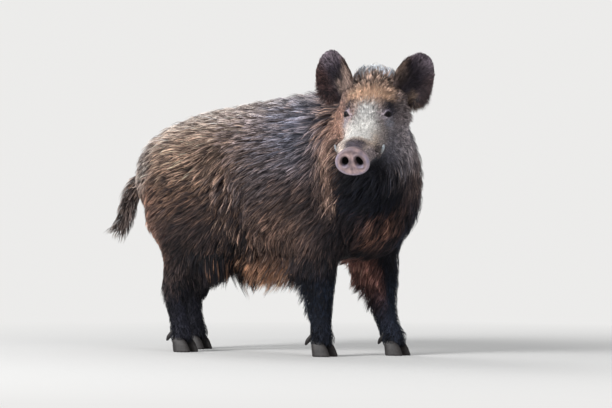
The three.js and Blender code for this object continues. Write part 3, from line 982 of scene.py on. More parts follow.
def body_colours(b, n):
    """The root's and the tip's colour of the hair that grows at b on a surface that faces n."""
    x, y, z = mirrored(b).T
    root = tint(np.tile(DARK, (len(b), 1)), BLACK, ease(z, 460, 300))
    tip = tint(np.tile((0.105, 0.068, 0.056), (len(b), 1)), OCHRE, 0.9 * ease(z, 370, 600))
    # Ochre on the flank, sand and cream up the rump and along the back. The cream lies on faces that look up,
    # partly the hair's own pale tips and partly painted light from above.
    top = ease(n[:, 2], 0.2, 0.95)
    x_uneven = x + 22 * ripple(b, 210, 31)
    behind = fade(x_uneven, -95, 230)
    tip = tint(tip, SAND, ease(z, 490, 590) * behind * 0.95)
    tip = tint(tip, (0.95, 0.66, 0.49), 0.75 * hill(z, 605, 62) * fade(x, -150, -40))
    tip = tint(tip, CREAM, top * ease(z, 560, 680) * behind * 0.9)
    root = tint(root, (0.135, 0.092, 0.078), ease(z, 480, 680) * behind)
    # The rump's edge over the tail is pale and the buttock under it rusty, both only where they face back:
    # partly the coat's own colour, partly painted light from behind.
    rear = ease(-n[:, 0], -0.10, 0.40) * ease(x, -200, -300)
    tip = tint(tip, (0.92, 0.80, 0.73), rear * ease(x, -270, -360) * ease(z, 480, 570))
    root, tip = dyed(root, tip, rear * hill(z, 400, 105), (0.11, 0.065, 0.054), (0.62, 0.36, 0.27))
    ahead, tells = flank_fold(b)
    # The fold's creases are painted dark as shade, and the ridge between them painted light as a highlight.
    crease_shade = tells * (hill(ahead, -26, 13) + 0.6 * hill(ahead, 40, 10))
    root, tip = dyed(root, tip, crease_shade, BLACK, (0.014, 0.011, 0.013), 0.95)
    tip = tint(tip, (0.84, 0.57, 0.44), 0.85 * tells * hill(ahead, 10, 14))
    root = tint(root, (0.20, 0.13, 0.10), tells * hill(ahead, 10, 12))
    # A painted bluish sheen, as of sky light on glossy dark hair, over the withers and shoulder.
    withers_sheen = ease(x_uneven, -75, 220) * ease(z, 470, 660) * (1 - 0.45 * ease(x, 235, 300))
    tip = tint(tip, SKY_SHEEN, 0.76 * withers_sheen)
    # Painted highlight along the top of the back, where it faces up.
    ridge = ease(n[:, 2], 0.7, 0.97) * ease(z, 640, 720) * fade(x, 230, 330)
    tip = tint(tip, (0.72, 0.64, 0.61), 0.65 * ridge)
    root = tint(root, (0.064, 0.068, 0.090), withers_sheen)
    rib = ease(x, -60, 60) * fade(x, 150, 230) * hill(z, 520, 80)
    tip = tint(tip, (0.40, 0.36, 0.40), 0.6 * rib)
    tip = tint(tip, (0.065, 0.047, 0.046), ease(x, 90, 200) * fade(z, 450, 590) * 0.85)
    tip = tip * rows(1 - 0.5 * hill(x, 90, 85) * hill(z, 495, 120))
    elbow = hill(x, 165, 95) * hill(z, 388, 68)
    root, tip = dyed(root, tip, elbow, (0.075, 0.050, 0.042), (0.50, 0.31, 0.235), 0.85)
    # The ham and the thigh go dark downwards.
    ham = ease(-x, 50, 200) * fade(z, 310, 470) * (1 - rear)
    tip = tint(tip, shades((0.024, 0.018, 0.020), (0.125, 0.082, 0.070), ease(-x, 120, 220)), 0.9 * ham)
    # The belly's fringe is rusty; the groin behind it and the hind legs' inner sides are painted black as
    # shade.
    fringe = fade(z, 245, 335) * hill(x, 25, 85) * ease(x, -70, -20)
    tip = tint(tip, (1.0, 0.54, 0.32), 0.9 * fringe)
    inner = to_middle(b, n)
    inside = np.clip(1.4 * hill(x, -180, 110), 0, 1) * fade(z, 270, 345)
    inside = inside * np.maximum(fade(y, 70, 100), ease(inner, -0.5, 0.0))
    groin_shade = fade(x, -85, -35) * ease(x, -240, -180) * fade(z, 310, 370)
    inside = np.maximum(inside, 0.97 * groin_shade)
    root, tip = dyed(root, tip, inside, (0.004, 0.004, 0.005), (0.010, 0.008, 0.010))
    root = tint(root, (0.60, 0.31, 0.19), fringe)
    # The neck is tan over grey, the throat and the chest black with a rusty patch.
    neck = ease(x, 250, 340)
    tip = tint(tip, (0.19, 0.130, 0.115), 0.85 * neck * ease(z, 440, 580))
    tip = tint(tip, (0.42, 0.29, 0.24), 0.5 * hill(x, 290, 60) * ease(z, 580, 660))
    tip = tint(tip, (0.50, 0.52, 0.57), ease(x, 320, 380) * ease(z, 740, 790) * ease(n[:, 2], 0.0, 0.6))
    chest = ease(x, 280, 360) * fade(z, 460, 570)
    root, tip = dyed(root, tip, chest, BLACK,
                     shades((0.036, 0.025, 0.026), (0.021, 0.032, 0.060), ease(b[:, 1], -40, 60)), 0.9)
    patch = np.clip(1.2 * knob(b, (468, -60, 428), (64, 56, 66)), 0, 1)
    tip = tint(tip, (0.012, 0.009, 0.011), 0.9 * ease(x, 320, 370) * fade(z, 330, 400))
    tip = tint(tip, (0.72, 0.36, 0.25), 0.85 * patch)
    throat = np.clip(1.5 * knob(b, (460, -120, 505), (120, 115, 90)), 0, 1)
    root, tip = dyed(root, tip, throat, (0.004, 0.004, 0.008), (0.005, 0.007, 0.015))
    # A rusty rim runs down behind the right cheek only: partly the coat's own colour, partly painted light on
    # the lit side.
    rim = hill(x, 350 + 0.2 * np.clip(600 - z, -80, 160), 24) * ease(z, 510, 575) * fade(z, 690, 730)
    rim = rim * ease(-b[:, 1], 40, 100)
    root, tip = dyed(root, tip, rim, (0.36, 0.21, 0.16), (0.95, 0.60, 0.45), 0.9)
    return root, tip


def ruff_share(q):
    """The fringe of long hair that hangs behind the cheeks."""
    x, y, z = mirrored(q).T
    beside = ease(y, 84, 112) * fade(y, 150, 185)
    return beside * ease(z, -250, -190) * fade(z, -10, 50) * ease(x, -40, 20)


def to_middle(b, n):
    """How much a surface faces the animal's middle plane, -1 to 1."""
    return np.where(b[:, 1] > 0, -n[:, 1], n[:, 1])


def leg_colours(b, n, root, tip):
    which, _, _, reach, _ = nearest_leg(b)
    leg, z = leg_share(b), b[:, 2]
    fore = which < 2
    low = ease(z, 200, 60)
    own_tip = np.where(rows(fore), np.array((0.018, 0.030, 0.057)), np.array((0.024, 0.021, 0.032)))
    # Painted pale highlight on the lower legs where they face forwards and to the right.
    own_tip = tint(own_tip, (0.055, 0.057, 0.078), 0.4 * low * ease(n[:, 0] - n[:, 1], -0.2, 0.8))
    inner = to_middle(b, n)
    rusty = ease(inner, -0.45, 0.35) * fade(n[:, 0], 0.40, 0.80) * fore * (b[:, 1] > 0)
    rusty = rusty * hill(z, 288, 84) * fade(reach, 1.2, 1.6)
    # The hind legs are painted lighter round the hock and up their backs, where they face back, as lit from
    # behind.
    hock = (1 - fore) * hill(z, 262, 66)
    own_tip = tint(own_tip, (0.40, 0.28, 0.25), 0.85 * hock * ease(-n[:, 0], -0.6, 0.1))
    own_tip = tint(own_tip, (0.60, 0.36, 0.28), (1 - fore) * ease(-n[:, 0], 0.1, 0.6) * ease(z, 240, 310))
    own_tip = tint(own_tip, (0.030, 0.032, 0.044), 0.5 * ease(z, 200, 310) * fade(inner, -0.4, 0.2))
    own_root = np.array((0.007, 0.008, 0.013))
    root, tip = mix(root, own_root, rows(leg)), mix(tip, own_tip, rows(leg))
    return tint(root, (0.150, 0.070, 0.060), rusty), tint(tip, (0.84, 0.41, 0.33), 0.9 * rusty)


def head_colours(q, root, tip):
    s = mirrored(q)
    x, y, z = s.T
    ruff = ruff_share(q)
    warm_lit_side = ease(-q[:, 1], -30, 50)  # the right side of the head is warmer and lighter than the left, partly its own colour and partly painted light, the left lying in painted shade
    low_ruff = ruff * warm_lit_side * (1 - 0.55 * ease(z, -110, 0)) * fade(y, 116, 148)
    root, tip = dyed(root, tip, low_ruff, (0.23, 0.140, 0.110), (0.88, 0.60, 0.48), 0.8)
    crown = ease(x, -120, -70) * fade(x, 12, 30) * ease(z, 60, 95) * fade(y, 58, 84)
    root, tip = dyed(root, tip, crown, (0.66, 0.72, 0.82), (0.86, 0.93, 1.0))
    scalp = ease(x, 8, 26) * fade(x, 30, 46) * ease(z, 50, 80)
    root, tip = dyed(root, tip, scalp, (0.42, 0.29, 0.235), (0.94, 0.68, 0.54))
    share = face_from(q)
    top = ease(z, 8, 32)
    cheek = warm_lit_side * hill(z, 0, 60) * fade(x, 150, 205)
    own = tint(np.tile((0.50, 0.42, 0.43), (len(q), 1)), (0.80, 0.475, 0.35), cheek)
    base = np.tile((0.085, 0.068, 0.070), (len(q), 1))
    base = tint(base, (0.25, 0.135, 0.10), cheek)
    own = tint(own, (0.60, 0.41, 0.31), ease(x, 75, 0) * ease(y, 60, 100))
    bridge = np.clip(1.6 * knob(s, (210, 55, 14), (50, 27, 32)), 0, 1)
    base, own = dyed(base, own, bridge, shades((0.18, 0.155, 0.15), (0.72, 0.62, 0.57), warm_lit_side),
                     shades((0.56, 0.48, 0.46), (1.0, 0.92, 0.88), warm_lit_side))
    forehead = hill(x, 88, 40) * ease(z, 46, 76) * fade(y, 62, 90)
    base, own = dyed(base, own, forehead, (0.46, 0.29, 0.20), (0.88, 0.60, 0.425))
    hairline = hill(x, 40, 18) * ease(z, 60, 95)
    base, own = dyed(base, own, hairline, (0.110, 0.075, 0.063), (0.86, 0.57, 0.42), 0.9)
    above = np.maximum(crown, scalp)
    own = mix(own, tip, rows(above))
    base = mix(base, root, rows(above))
    # The pale blaze, narrow between the eyes and wide on the snout, with a dark arch between it and the disc.
    half = 30 + 20 * ease(x, 140, 240)
    blaze = ease(x, 98, 142) * fade(x, 276, 306) * fade(y, half * 0.45, half * 1.4) * top
    base, own = dyed(base, own, blaze, shades((0.24, 0.235, 0.24), (0.70, 0.68, 0.65), ease(x, 130, 215)),
                     (0.86, 0.84, 0.815))
    low = -24 + 16 * ease(x, 285, 320) + 24 * (1 - warm_lit_side)
    flank = ease(x, 205, 250) * fade(x, 330, 346) * ease(z, low, low + 28) * (1 - blaze)
    own = tint(own, shades((0.86, 0.66, 0.49), (1.0, 0.90, 0.82), warm_lit_side), rows(flank))
    base = tint(base, (0.58, 0.47, 0.40), flank)
    arch = ease(x, 286, 312) * fade(y + 0.25 * (x - 320), 22, 44) * top
    base, own = dyed(base, own, arch, (0.045, 0.036, 0.042), (0.105, 0.096, 0.135), 0.95)
    brow = np.clip(3.0 * knob(s, (112, 59, 63), (14, 18, 11)), 0, 1)
    base, own = dyed(base, own, brow, (0.024, 0.021, 0.026), (0.060, 0.050, 0.060), 0.95)
    cool = ease(q[:, 1], -20, 20)  # the left eye lies in shade
    # The dark ring round each eye is painted darker still round the left eye, as shade.
    rim = np.clip((1 + 1.6 * cool) * knob(s, (122, 66, 48), (21, 17, 16)), 0, 1)
    base, own = dyed(base, own, rim, (0.022, 0.021, 0.030), (0.036, 0.036, 0.054), 0.9)
    tear = np.clip(1.3 * knob(s, (150, 63, 22), (15, 14, 11)), 0, 1)
    base, own = dyed(base, own, 0.9 * tear, (0.30, 0.31, 0.37), (0.50, 0.52, 0.60))
    shade = cool * ease(y, 48, 62) * hill(x, 168, 38) * hill(z, 6, 52)
    own = own * rows(1 - 0.4 * shade)
    base = base * rows(1 - 0.4 * shade)
    opening = lid_opening(q)
    pale_lid = hill(opening, 2.15, 0.5) * np.clip(ease(x, 126, 138) + ease(z, 44, 52), 0, 1)
    # The pale lids are painted fainter round the left eye, as shade.
    pale_lid = pale_lid * (1 - 0.55 * cool)
    own = tint(own, (0.48, 0.42, 0.50), 0.85 * pale_lid)
    base = tint(base, (0.43, 0.37, 0.45), 0.9 * pale_lid)
    margin = fade(opening, 1.35, 1.6)
    base, own = dyed(base, own, margin, (0.014, 0.012, 0.015), (0.014, 0.012, 0.015))
    muzzle = ease(x, 165, 230) * fade(z, -34, -8)
    base, own = dyed(base, own, muzzle, (0.018, 0.016, 0.020),
                     shades((0.036, 0.046, 0.070), (0.045, 0.040, 0.048), warm_lit_side), 0.85)
    below = 0.25 + 0.75 * ease(x, 60, 150)
    grey = ease(q[:, 1], 30, 78)
    own = tint(own, shades((0.012, 0.012, 0.018), (0.15, 0.15, 0.19), grey), ease(-z, 18, 60) * below)
    base = tint(base, shades(BLACK, (0.040, 0.041, 0.052), grey), ease(-z, 10, 50) * below)
    root, tip = mix(root, base, rows(share)), mix(tip, own, rows(share))
    # Under the left cheek the hair is grey.
    grizzled = grey * fade(y, 150, 185) * ease(x, -60, 0) * fade(x, 160, 215)
    grizzled = grizzled * ease(z, -140, -70) * fade(z, -20, 25)
    tip = tint(tip, shades((0.25, 0.25, 0.31), (0.68, 0.58, 0.58), ease(y, 60, 100)), grizzled)
    return tint(root, (0.115, 0.104, 0.120), grizzled), tip


def coat_colours(points, normals):
    b, q = in_body(points), in_head(points)
    root, tip = body_colours(b, normals)
    root, tip = leg_colours(b, normals, root, tip)
    root, tip = head_colours(q, root, tip)
    down, _ = along_tail(b)
    tail = rows(tail_share(b))
    tip = mix(tip, shades((0.26, 0.200, 0.180), (0.36, 0.28, 0.21), ease(down, 0.5, 1)), tail)
    root = mix(root, np.array((0.022, 0.016, 0.016)), tail)
    patchy = 1 + 0.22 * ripple(points, 0.16, 11) + 0.12 * ripple(points, 0.05, 12)
    patchy = mix(patchy, np.ones(len(b)), 0.6 * face_from(q))
    return root * rows(patchy), tip * rows(np.clip(patchy, 0.5, 1.6))


def steered(way, goal, share):
    """Turns ways of any length towards a goal, by a share for each row."""
    return mix(way, np.array(goal, float), rows(share))


def coat_lie(points, normals):
    """For each root: the way of the hair in space, its length, how high its tip stands, how freely it
    hangs, its width and how much it gathers in locks. Lengths are in millimetres."""
    b, q, n = in_body(points), in_head(points), normals
    x, z = b[:, 0], b[:, 2]
    # The trunk: back and a little down, steeper lower down.
    fall = 0.12 + 0.55 * ease(z, 700, 470) + 1.2 * ease(z, 420, 300) * (1 - 0.8 * ease(-x, 110, 200))
    ahead, tells = flank_fold(b)
    fall += 2.6 * hill(ahead, 5, 52) * tells
    fall += 0.5 * hill(x, -70, 45) * ease(z, 480, 380)
    fall += 0.5 * ease(x, 180, 330)
    way = ways(-1, 0, -fall)
    way = steered(way, (-0.25, 0, -1), ease(-n[:, 0], 0.3, 0.9) * ease(-x, 300, 400))
    way = steered(way, (-0.15, 0, -1), ease(n[:, 0], 0.35, 0.85) * ease(x, 200, 320))
    way = steered(way, (-1, 0, -0.55), ease(-n[:, 2], 0.35, 0.9))
    length = 70 + 8 * ease(z, 560, 700) - 20 * ease(-x, 120, 210) * ease(z, 440, 350)
    depth = coat_depth(points, normals)
    ridge = ease(n[:, 2], 0.35, 0.9) * ease(z, 560, 680)
    height = (0.84 + 0.25 * ease(x, 300, 380) * ease(b[:, 1], -20, 40) + 0.2 * ridge) * depth
    free = 0.45 * ridge * fade(x, 60, 200) + 0.3 * ease(-n[:, 0], 0.35, 0.9) * ease(z, 480, 580)
    # The belly's fringe hangs.
    fringe = fade(z, 272, 330) * ease(x, -190, -90) * fade(x, 190, 300)
    way = steered(way, (-0.5, 0, -1), fringe)
    free += 0.8 * fringe
    length += (6 + 26 * hill(x, 20, 110)) * fringe
    fold = hill(x, -125, 62) * fade(z, 290, 345)
    way = steered(unit(way), (0.45, 0, -1), 0.85 * fold)
    free, length = mix(free, 0.85, fold), length + 30 * fold
    # The throat's hair is shorter.
    length = length - 10 * knob(b, (430, -120, 500), (120, 120, 110))
    # The legs: down, with a fringe behind the elbow and the hock.
    leg = leg_share(b)
    which, ahead, _, _, table = nearest_leg(b)
    fore = which < 2
    behind = ease(-ahead / table[:, 4], 0.15, 0.7)
    before = ease(ahead / table[:, 3], 0.25, 0.8)
    tuft = np.where(fore, behind * (0.35 * ease(z, 60, 90) + 0.65 * ease(z, 110, 200)),
                    np.maximum(0.8 * before * ease(z, 150, 220), 0.9 * behind * hill(z, 205, 60)))
    leg_way = steered(ways(-0.12, 0, -np.ones(len(b))), ways(np.where(ahead > 0, 0.35, -1.1), 0, -1), tuft)
    pastern = fade(z, 56, 84)
    leg_length = mix(19.0, 36.0, ease(z, 90, 320)) + np.where(fore, 42, 30) * tuft + 10 * pastern
    way, length = steered(way, leg_way, leg), mix(length, leg_length, leg)
    free = mix(free, np.maximum(0.75 * tuft, 0.3 * pastern), leg)
    # The tail.
    t, line = along_tail(b)
    tail = tail_share(b)
    later, lower = (np.interp(t + 0.08, np.linspace(0, 1, len(TAIL)), TAIL[:, i]) for i in (0, 1))
    tail_way = unit(ways(later - line[:, 0] - 0.3, 0, lower - line[:, 2] - 0.3))
    way = steered(way, tail_way + n * rows(0.2 + 0.25 * t), tail)
    length, height = mix(length, mix(40.0, 78.0, t), tail), mix(height, 12.0, tail)
    free = mix(free, 0.7, tail)
    # A fringe falls over the hooves.
    foot = fade(z, 66, 92)
    height, length = height + 7 * foot, length + 4 * foot
    # The head: from the disc back over the face, the cheeks back and down.
    x, y, z = mirrored(q).T
    face = face_from(q)
    q_side = np.sign(q[:, 1] + 1e-6)
    steep = 0.15 + 0.7 * ease(x, 60, 0) * ease(z, 60, 100)
    local = ways(-1, q_side * (0.25 + 0.35 * ease(x, 150, 90)) * ease(y, 6, 40), steep - ease(-z, -50, 20))
    local = steered(local, ways(-0.6, q_side * 0.1, -1), ease(-z, 20, 80))
    face_length = 7.0 + 6.0 * ease(x, 300, 130) + 12 * ease(x, 120, 30)
    face_length += 22 * ease(x, 60, 0) * ease(z, 40, 110)
    face_length += 16 * ease(x, 200, 70) * ease(-z, 0, 70)
    face_length -= 1.5 * ease(x, 235, 270) * fade(z, 0, 24)
    way = steered(way, local @ HEAD_AXES.T, face)
    height = height * (1 - 0.45 * face * ease(x, 60, 150) * (1 - 0.7 * ease(x, 270, 310)))
    edge = ease(y, 66, 88) * fade(x, 70, 120)
    length, free = mix(length, face_length, face), mix(free, 0.3 * edge, face)
    crest = crown_share(q)
    way = steered(unit(way), HEAD_AXES @ (-0.75, 0, 0.85), 0.75 * crest)
    length = length + 6 * crest
    height = height + (5 + 12 * ease(y, 5, 50)) * crest
    free = mix(free, 0.38, crest)
    # Wisps stand off the face's edge under the ears.
    wisp = knob(mirrored(q), (52, 92, 8), (28, 22, 34))
    way = steered(unit(way), ways(-0.25, q_side * 0.85, -0.6) @ HEAD_AXES.T, 0.8 * wisp)
    length, free = length + 16 * wisp, mix(free, 0.6, wisp)
    # The ruff hangs down behind the cheeks.
    way = steered(unit(way), (-0.25, 0, -1), 0.85 * ruff_share(q) * (1 - face))
    width = np.interp(length, [4, 8, 14, 30, 60, 80], [1.1, 1.3, 1.6, 2.1, 2.5, 2.7])
    gather = np.interp(length, [8, 20, 45], [0.2, 0.42, 0.62])
    return unit(way), length, height, free, width, gather


# ------------------------------------------------------------------ the coat's tufts

def spike(name, rings):
    """A closed three-sided spike: across, along and out of its middle line, tapered to its tip."""
    points = []
    for along in rings:
        girth = (1 - along) ** 0.62
        for turn in (90, 210, 330):
            a = math.radians(turn)
            points.append((math.cos(a) * girth, along, math.sin(a) * girth * 0.55))
    tip = len(points)
    points.append((0, 1, 0))
    faces = tube_faces(3, len(rings))
    faces += [(tip - 3 + i, tip - 3 + (i + 1) % 3, tip) for i in range(3)] + [(2, 1, 0)]
    mesh = outward(mesh_of(name, points, faces))
    across, along, outwards = np.array(points).T
    measured(mesh, across=across, along=along, outwards=outwards)
    return bpy.data.objects.new(name, mesh)


TAIL_COAT = -486  # where the tail's own piece of the coat begins, along the body
SHORT_BELOW = 300  # the height under which the legs have short tufts
LONG_TUFT = spike("long_tuft", (0.0, 0.34, 0.68))
SHORT_TUFT = spike("short_tuft", (0.0, 0.5))
PATCH = 0.003  # the part of the unwrap that one tuft takes


def tuft_tree():
    """Sets a tuft on each point and bends it as the point's measures say."""
    tree = bpy.data.node_groups.new("tufts", "GeometryNodeTree")
    face = tree.interface
    inputs = {}
    for name, kind, value in (("Geometry", "Geometry", None), ("Tuft", "Object", None),
                              ("Material", "Material", None), ("Length", "Float", 1.0),
                              ("Width", "Float", 1.0), ("Patch", "Float", PATCH)):
        inputs[name] = face.new_socket(name=name, in_out="INPUT", socket_type=f"NodeSocket{kind}")
        if value:
            inputs[name].default_value = value
    face.new_socket(name="Geometry", in_out="OUTPUT", socket_type="NodeSocketGeometry")
    net = Net(tree)
    given = tree.nodes.new("NodeGroupInput")
    take = {name: Wire(net, given.outputs[name]) for name in inputs}

    def read(name, kind="FLOAT"):
        return net.add("GeometryNodeInputNamedAttribute", {"data_type": kind}, {"Name": name})

    template = net.add("GeometryNodeObjectInfo", {}, {"Object": take["Tuft"]}, out="Geometry")
    placed = net.add("GeometryNodeInstanceOnPoints", {}, {"Points": take["Geometry"], "Instance": template})
    real = net.add("GeometryNodeRealizeInstances", {}, {"Geometry": placed})
    along, across_it, outwards = read("along"), read("across"), read("outwards")
    root, bend, tip = (read(k, "FLOAT_VECTOR") for k in ("root", "bend", "tip"))
    side, normal = read("side", "FLOAT_VECTOR"), read("normal", "FLOAT_VECTOR")
    half = read("half") * take["Width"]
    curve = bend * (along * (1.0 - along) * 2.0 * take["Length"]) + tip * (along * along * take["Length"])
    place = root + curve + side * (across_it * half) + normal * (outwards * half)
    shaped = net.add("GeometryNodeSetPosition", {}, {"Geometry": real, "Position": place})
    flat = net.add("ShaderNodeCombineXYZ", {}, {"X": across_it * 0.5, "Y": along - 0.5, "Z": 0.0})
    spot = read("spot", "FLOAT_VECTOR") + flat * take["Patch"]
    mapped = net.add("GeometryNodeStoreNamedAttribute", {"data_type": "FLOAT2", "domain": "CORNER"},
                     {"Geometry": shaped, "Name": "OFBake", "Value": spot})
    painted = net.add("GeometryNodeSetMaterial", {}, {"Geometry": mapped, "Material": take["Material"]})
    result = tree.nodes.new("NodeGroupOutput")
    tree.links.new(painted.socket, result.inputs[0])
    return tree, {name: socket.identifier for name, socket in inputs.items()}


TUFTS, TUFT_INPUTS = tuft_tree()


def grown(name, template, material, fields):
    """One piece of the coat, from one point for each tuft."""
    seed = bpy.data.meshes.new(name)
    seed.vertices.add(len(fields["root"]))
    seed.vertices.foreach_set("co", fields["root"].astype(np.float32).ravel())
    for key, values in fields.items():
        if values.ndim == 1:
            measured(seed, **{key: values})
        elif key.endswith("colour"):
            coloured(seed, **{key: values})
        else:
            seed.attributes.new(key, "FLOAT_VECTOR", "POINT").data.foreach_set(
                "vector", values.astype(np.float32).ravel())
    piece = object_of(name, seed)
    grow = piece.modifiers.new("tufts", "NODES")
    grow.node_group = TUFTS
    for key, value in (("Tuft", template), ("Material", material), ("Length", 1.0), ("Width", 1.0),
                       ("Patch", PATCH)):
        grow[TUFT_INPUTS[key]] = value
    mesh = settled(piece)
    mesh.materials.clear()
    mesh.materials.append(material)
    mesh.polygons.foreach_set("material_index", np.zeros(len(mesh.polygons), np.int32))
    for key in ("across", "outwards", "root", "bend", "tip", "side", "normal", "half", "spot"):
        if key in mesh.attributes:
            mesh.attributes.remove(mesh.attributes[key])
    mesh.shade_smooth()
    declared(piece)


def hair_paint(net):
    along, strand = net.measure("along"), net.measure("chance")
    low, high = net.attribute("root_colour"), net.attribute("tip_colour")
    rise = net.between(along + (strand - 0.5) * 0.4, 0.34, 0.9)
    shade = 0.5 + strand
    return {"Base Color": net.blend(rise, low, high) * shade, "Roughness": 0.6, "Specular IOR Level": 0.22}


hair = finish("hair", hair_paint)


def tuft_colours(points, normals, kind):
    """The coat's colours with the scatter from lock to lock and hair to hair that makes them grizzled."""
    count = len(points)
    q = in_head(points)
    face = face_from(q)
    strewn = points + chance.normal(size=(count, 3)) * rows(mix(13.0, 6.5, face)) * MM
    x = in_body(points)[:, 0]
    strewn[:, 0] += (kind - 0.5) * 0.20 * ease(x, -300, -200) * fade(x, 170, 250)
    root, tip = coat_colours(strewn, normals)
    # Some hairs are dark and some pale throughout.
    draw = chance.random(count)
    dark = draw < mix(0.30, 0.10, face)
    pale = draw > mix(0.86, 0.88, face)
    tip = np.where(rows(dark), tip * mix(0.3, 0.5, rows(face)) + np.array((0.006, 0.007, 0.012)), tip)
    tip = np.where(rows(pale), np.minimum(tip * 1.3, 0.93), tip)
    # Locks are gloomy or golden by their kind, the golden ones without a change of hue at the limit.
    streaky = 1 - face
    kind = mix(kind, chance.random(count), 0.3)
    gloomy = rows(fade(kind, 0.26, 0.36) * streaky)
    tip = mix(tip, tip * 0.27, gloomy)
    golden = rows(ease(kind, 0.70, 0.84) * streaky)
    gilt = tip * np.array((1.55, 1.47, 1.36))
    gilt = gilt * rows(np.minimum(1.0, BRIGHTEST / np.maximum(gilt.max(1), 1e-6)))
    tip = mix(tip, gilt, golden)
    hairline = hill(q[:, 0], 34, 24) * ease(q[:, 2], 55, 85) * fade(kind, 0.38, 0.46)
    tip = mix(tip, tip * 0.10, rows(hairline))
    root = mix(root, root * 0.3, rows(hairline))
    return root, tip


def scattered(mesh, density, count):
    """count places spread over a mesh, closer together where density says: points, normals."""
    places, triangles = mesh_arrays(mesh)
    normals = normals_of(places, triangles)
    corners = places[triangles]
    sides = corners[:, 1:] - corners[:, :1]
    area = 0.5 * np.linalg.norm(np.cross(sides[:, 0], sides[:, 1]), axis=1)
    weight = area * density(corners.mean(1))
    total = np.cumsum(weight)
    marks = (np.arange(count) + chance.random(count)) / count * total[-1]
    chosen = np.minimum(np.searchsorted(total, marks), len(triangles) - 1)
    a, c = chance.random(count), chance.random(count)
    flip = a + c > 1
    a[flip], c[flip] = 1 - a[flip], 1 - c[flip]
    share = np.stack([1 - a - c, a, c], 1)[:, :, None]
    return (places[triangles[chosen]] * share).sum(1), unit((normals[triangles[chosen]] * share).sum(1))


def lock_fields(points, normals, lie, tree, lock_every, wild):
    """What each tuft needs to know, gathered in locks. tree finds the skin under a place."""
    count = len(points)
    way, length, height, free, width, gather = lie
    heads = chance.permutation(count)[:max(count // lock_every, 1)]
    near = kdtree.KDTree(len(heads))
    for i, p in enumerate(points[heads]):
        near.insert(p, i)
    near.balance()
    reach = np.minimum(length, 30) * 0.05 * MM
    blurred = points + chance.normal(size=(count, 3)) * rows(reach)
    mine = np.array([near.find(p)[1] for p in blurred])
    lock = heads[mine]

    lock_turn = chance.normal(size=len(heads)) * 0.2 * wild
    lock_long = chance.uniform(0.82, 1.16, len(heads))
    lock_lift = chance.uniform(0.72, 1.18, len(heads))
    lock_tone = chance.normal(size=len(heads))
    kind = chance.random(len(heads))

    along = unit(way - normals * rows((way * normals).sum(1)))
    sideways = np.cross(normals, along)
    turn = lock_turn[mine] + chance.normal(size=count) * 0.1 * wild
    along = along * rows(np.cos(turn)) + sideways * rows(np.sin(turn))
    far = length * lock_long[mine] * chance.uniform(0.85, 1.1, count) * MM
    far = far * (1 + free * 0.5 * (chance.random(len(heads))[mine] - 0.5))
    high = height * lock_lift[mine] * chance.uniform(0.8, 1.15, count) * MM

    def laid(share, lift):
        """Where the hair lies over the skin after that share of its length, at that share of its height."""
        aim = points + along * rows(far * share)
        foot, up = np.empty_like(aim), np.empty_like(aim)
        for i in range(count):
            foot[i], up[i] = tree.find_nearest(Vector(aim[i]))[:2]
        turned = (up * normals).sum(1) < -0.2
        up[turned] = normals[turned]
        return foot + up * rows(high * lift)

    # The freer a hair is, the more it hangs instead.
    tips = mix(laid(0.97, 1), points + unit(way + normals * 0.25) * rows(far), rows(free))
    middles = mix(laid(0.5, 0.86), points + unit(way * 0.8 + normals * 0.6) * rows(far * 0.5), rows(free))
    # Towards the lock's own tip.
    pull = rows(gather * chance.uniform(0.75, 1.1, count))
    spread = points - points[lock]
    tips = mix(tips, tips[lock] + spread * 0.12, np.clip(pull, 0, 0.95))
    middles = mix(middles, middles[lock] + spread * 0.6, np.clip(pull * 0.55, 0, 0.95))

    bend = 2 * (middles - points) - 0.5 * (tips - points)
    course = unit(tips - points)
    side = unit(np.cross(course, normals))
    return {"root": points - normals * 1.2 * MM, "bend": bend, "tip": tips - points, "side": side,
            "normal": unit(np.cross(side, course)),
            "half": width * 0.5 * MM * chance.uniform(0.75, 1.2, count),
            "chance": np.clip(0.5 + 0.20 * lock_tone[mine] + 0.17 * chance.normal(size=count), 0, 1),
            "kind": kind[mine]}


def spot_of(points, region):
    """Where a point lies on an unwrap of the skin, 0 to 1 each way."""
    b, q = in_body(points), in_head(points)
    if region == "head":
        u, v = q[:, 0], np.arctan2(q[:, 1], q[:, 2] + 10)
    elif region == "tail":
        down, line = along_tail(b)
        u, v = down, np.arctan2(b[:, 1], (b - line)[:, 0])
    elif region == "legs":
        which, ahead, aside, _, _ = nearest_leg(b)
        u, v = b[:, 2], (np.arctan2(aside, ahead) / (2 * math.pi) + 0.5) * 0.94 + which
    else:
        u, v = b[:, 0], np.arctan2(b[:, 1], b[:, 2] - 460)
    return ways(*((w - w.min()) / max(float(np.ptp(w)), 1e-9) * 0.96 + 0.02 for w in (u, v)), 0)


def is_short(points):
    """Whether the short tufts grow there: on the face and on the legs."""
    b = in_body(points)
    return np.maximum(face_from(in_head(points)) > 0.5, (leg_share(b) > 0.5) & (b[:, 2] < SHORT_BELOW))


def long_density(points):
    return np.where(is_short(points), 0.0, 1.0 + 0.8 * tail_share(in_body(points)))


def short_density(points):
    q = in_head(points)
    face = face_from(q) > 0.5
    thick = np.where(face, 2.6 + 2.5 * ease(q[:, 0], 60, 200), 1.0)
    low = in_body(points)[:, 2] < 50
    return np.where(is_short(points), np.where(low & ~face, 0.3, thick), 0.0)


def skin_tufts(density, count, tree, lock_every=4, wild=0.7):
    """Tufts spread over the skin: their points and their fields."""
    points, normals = scattered(skin.data, density, count)
    fields = lock_fields(points, normals, coat_lie(points, normals), tree, lock_every, wild)
    fields["root_colour"], fields["tip_colour"] = tuft_colours(points, normals, fields.pop("kind"))
    return points, fields


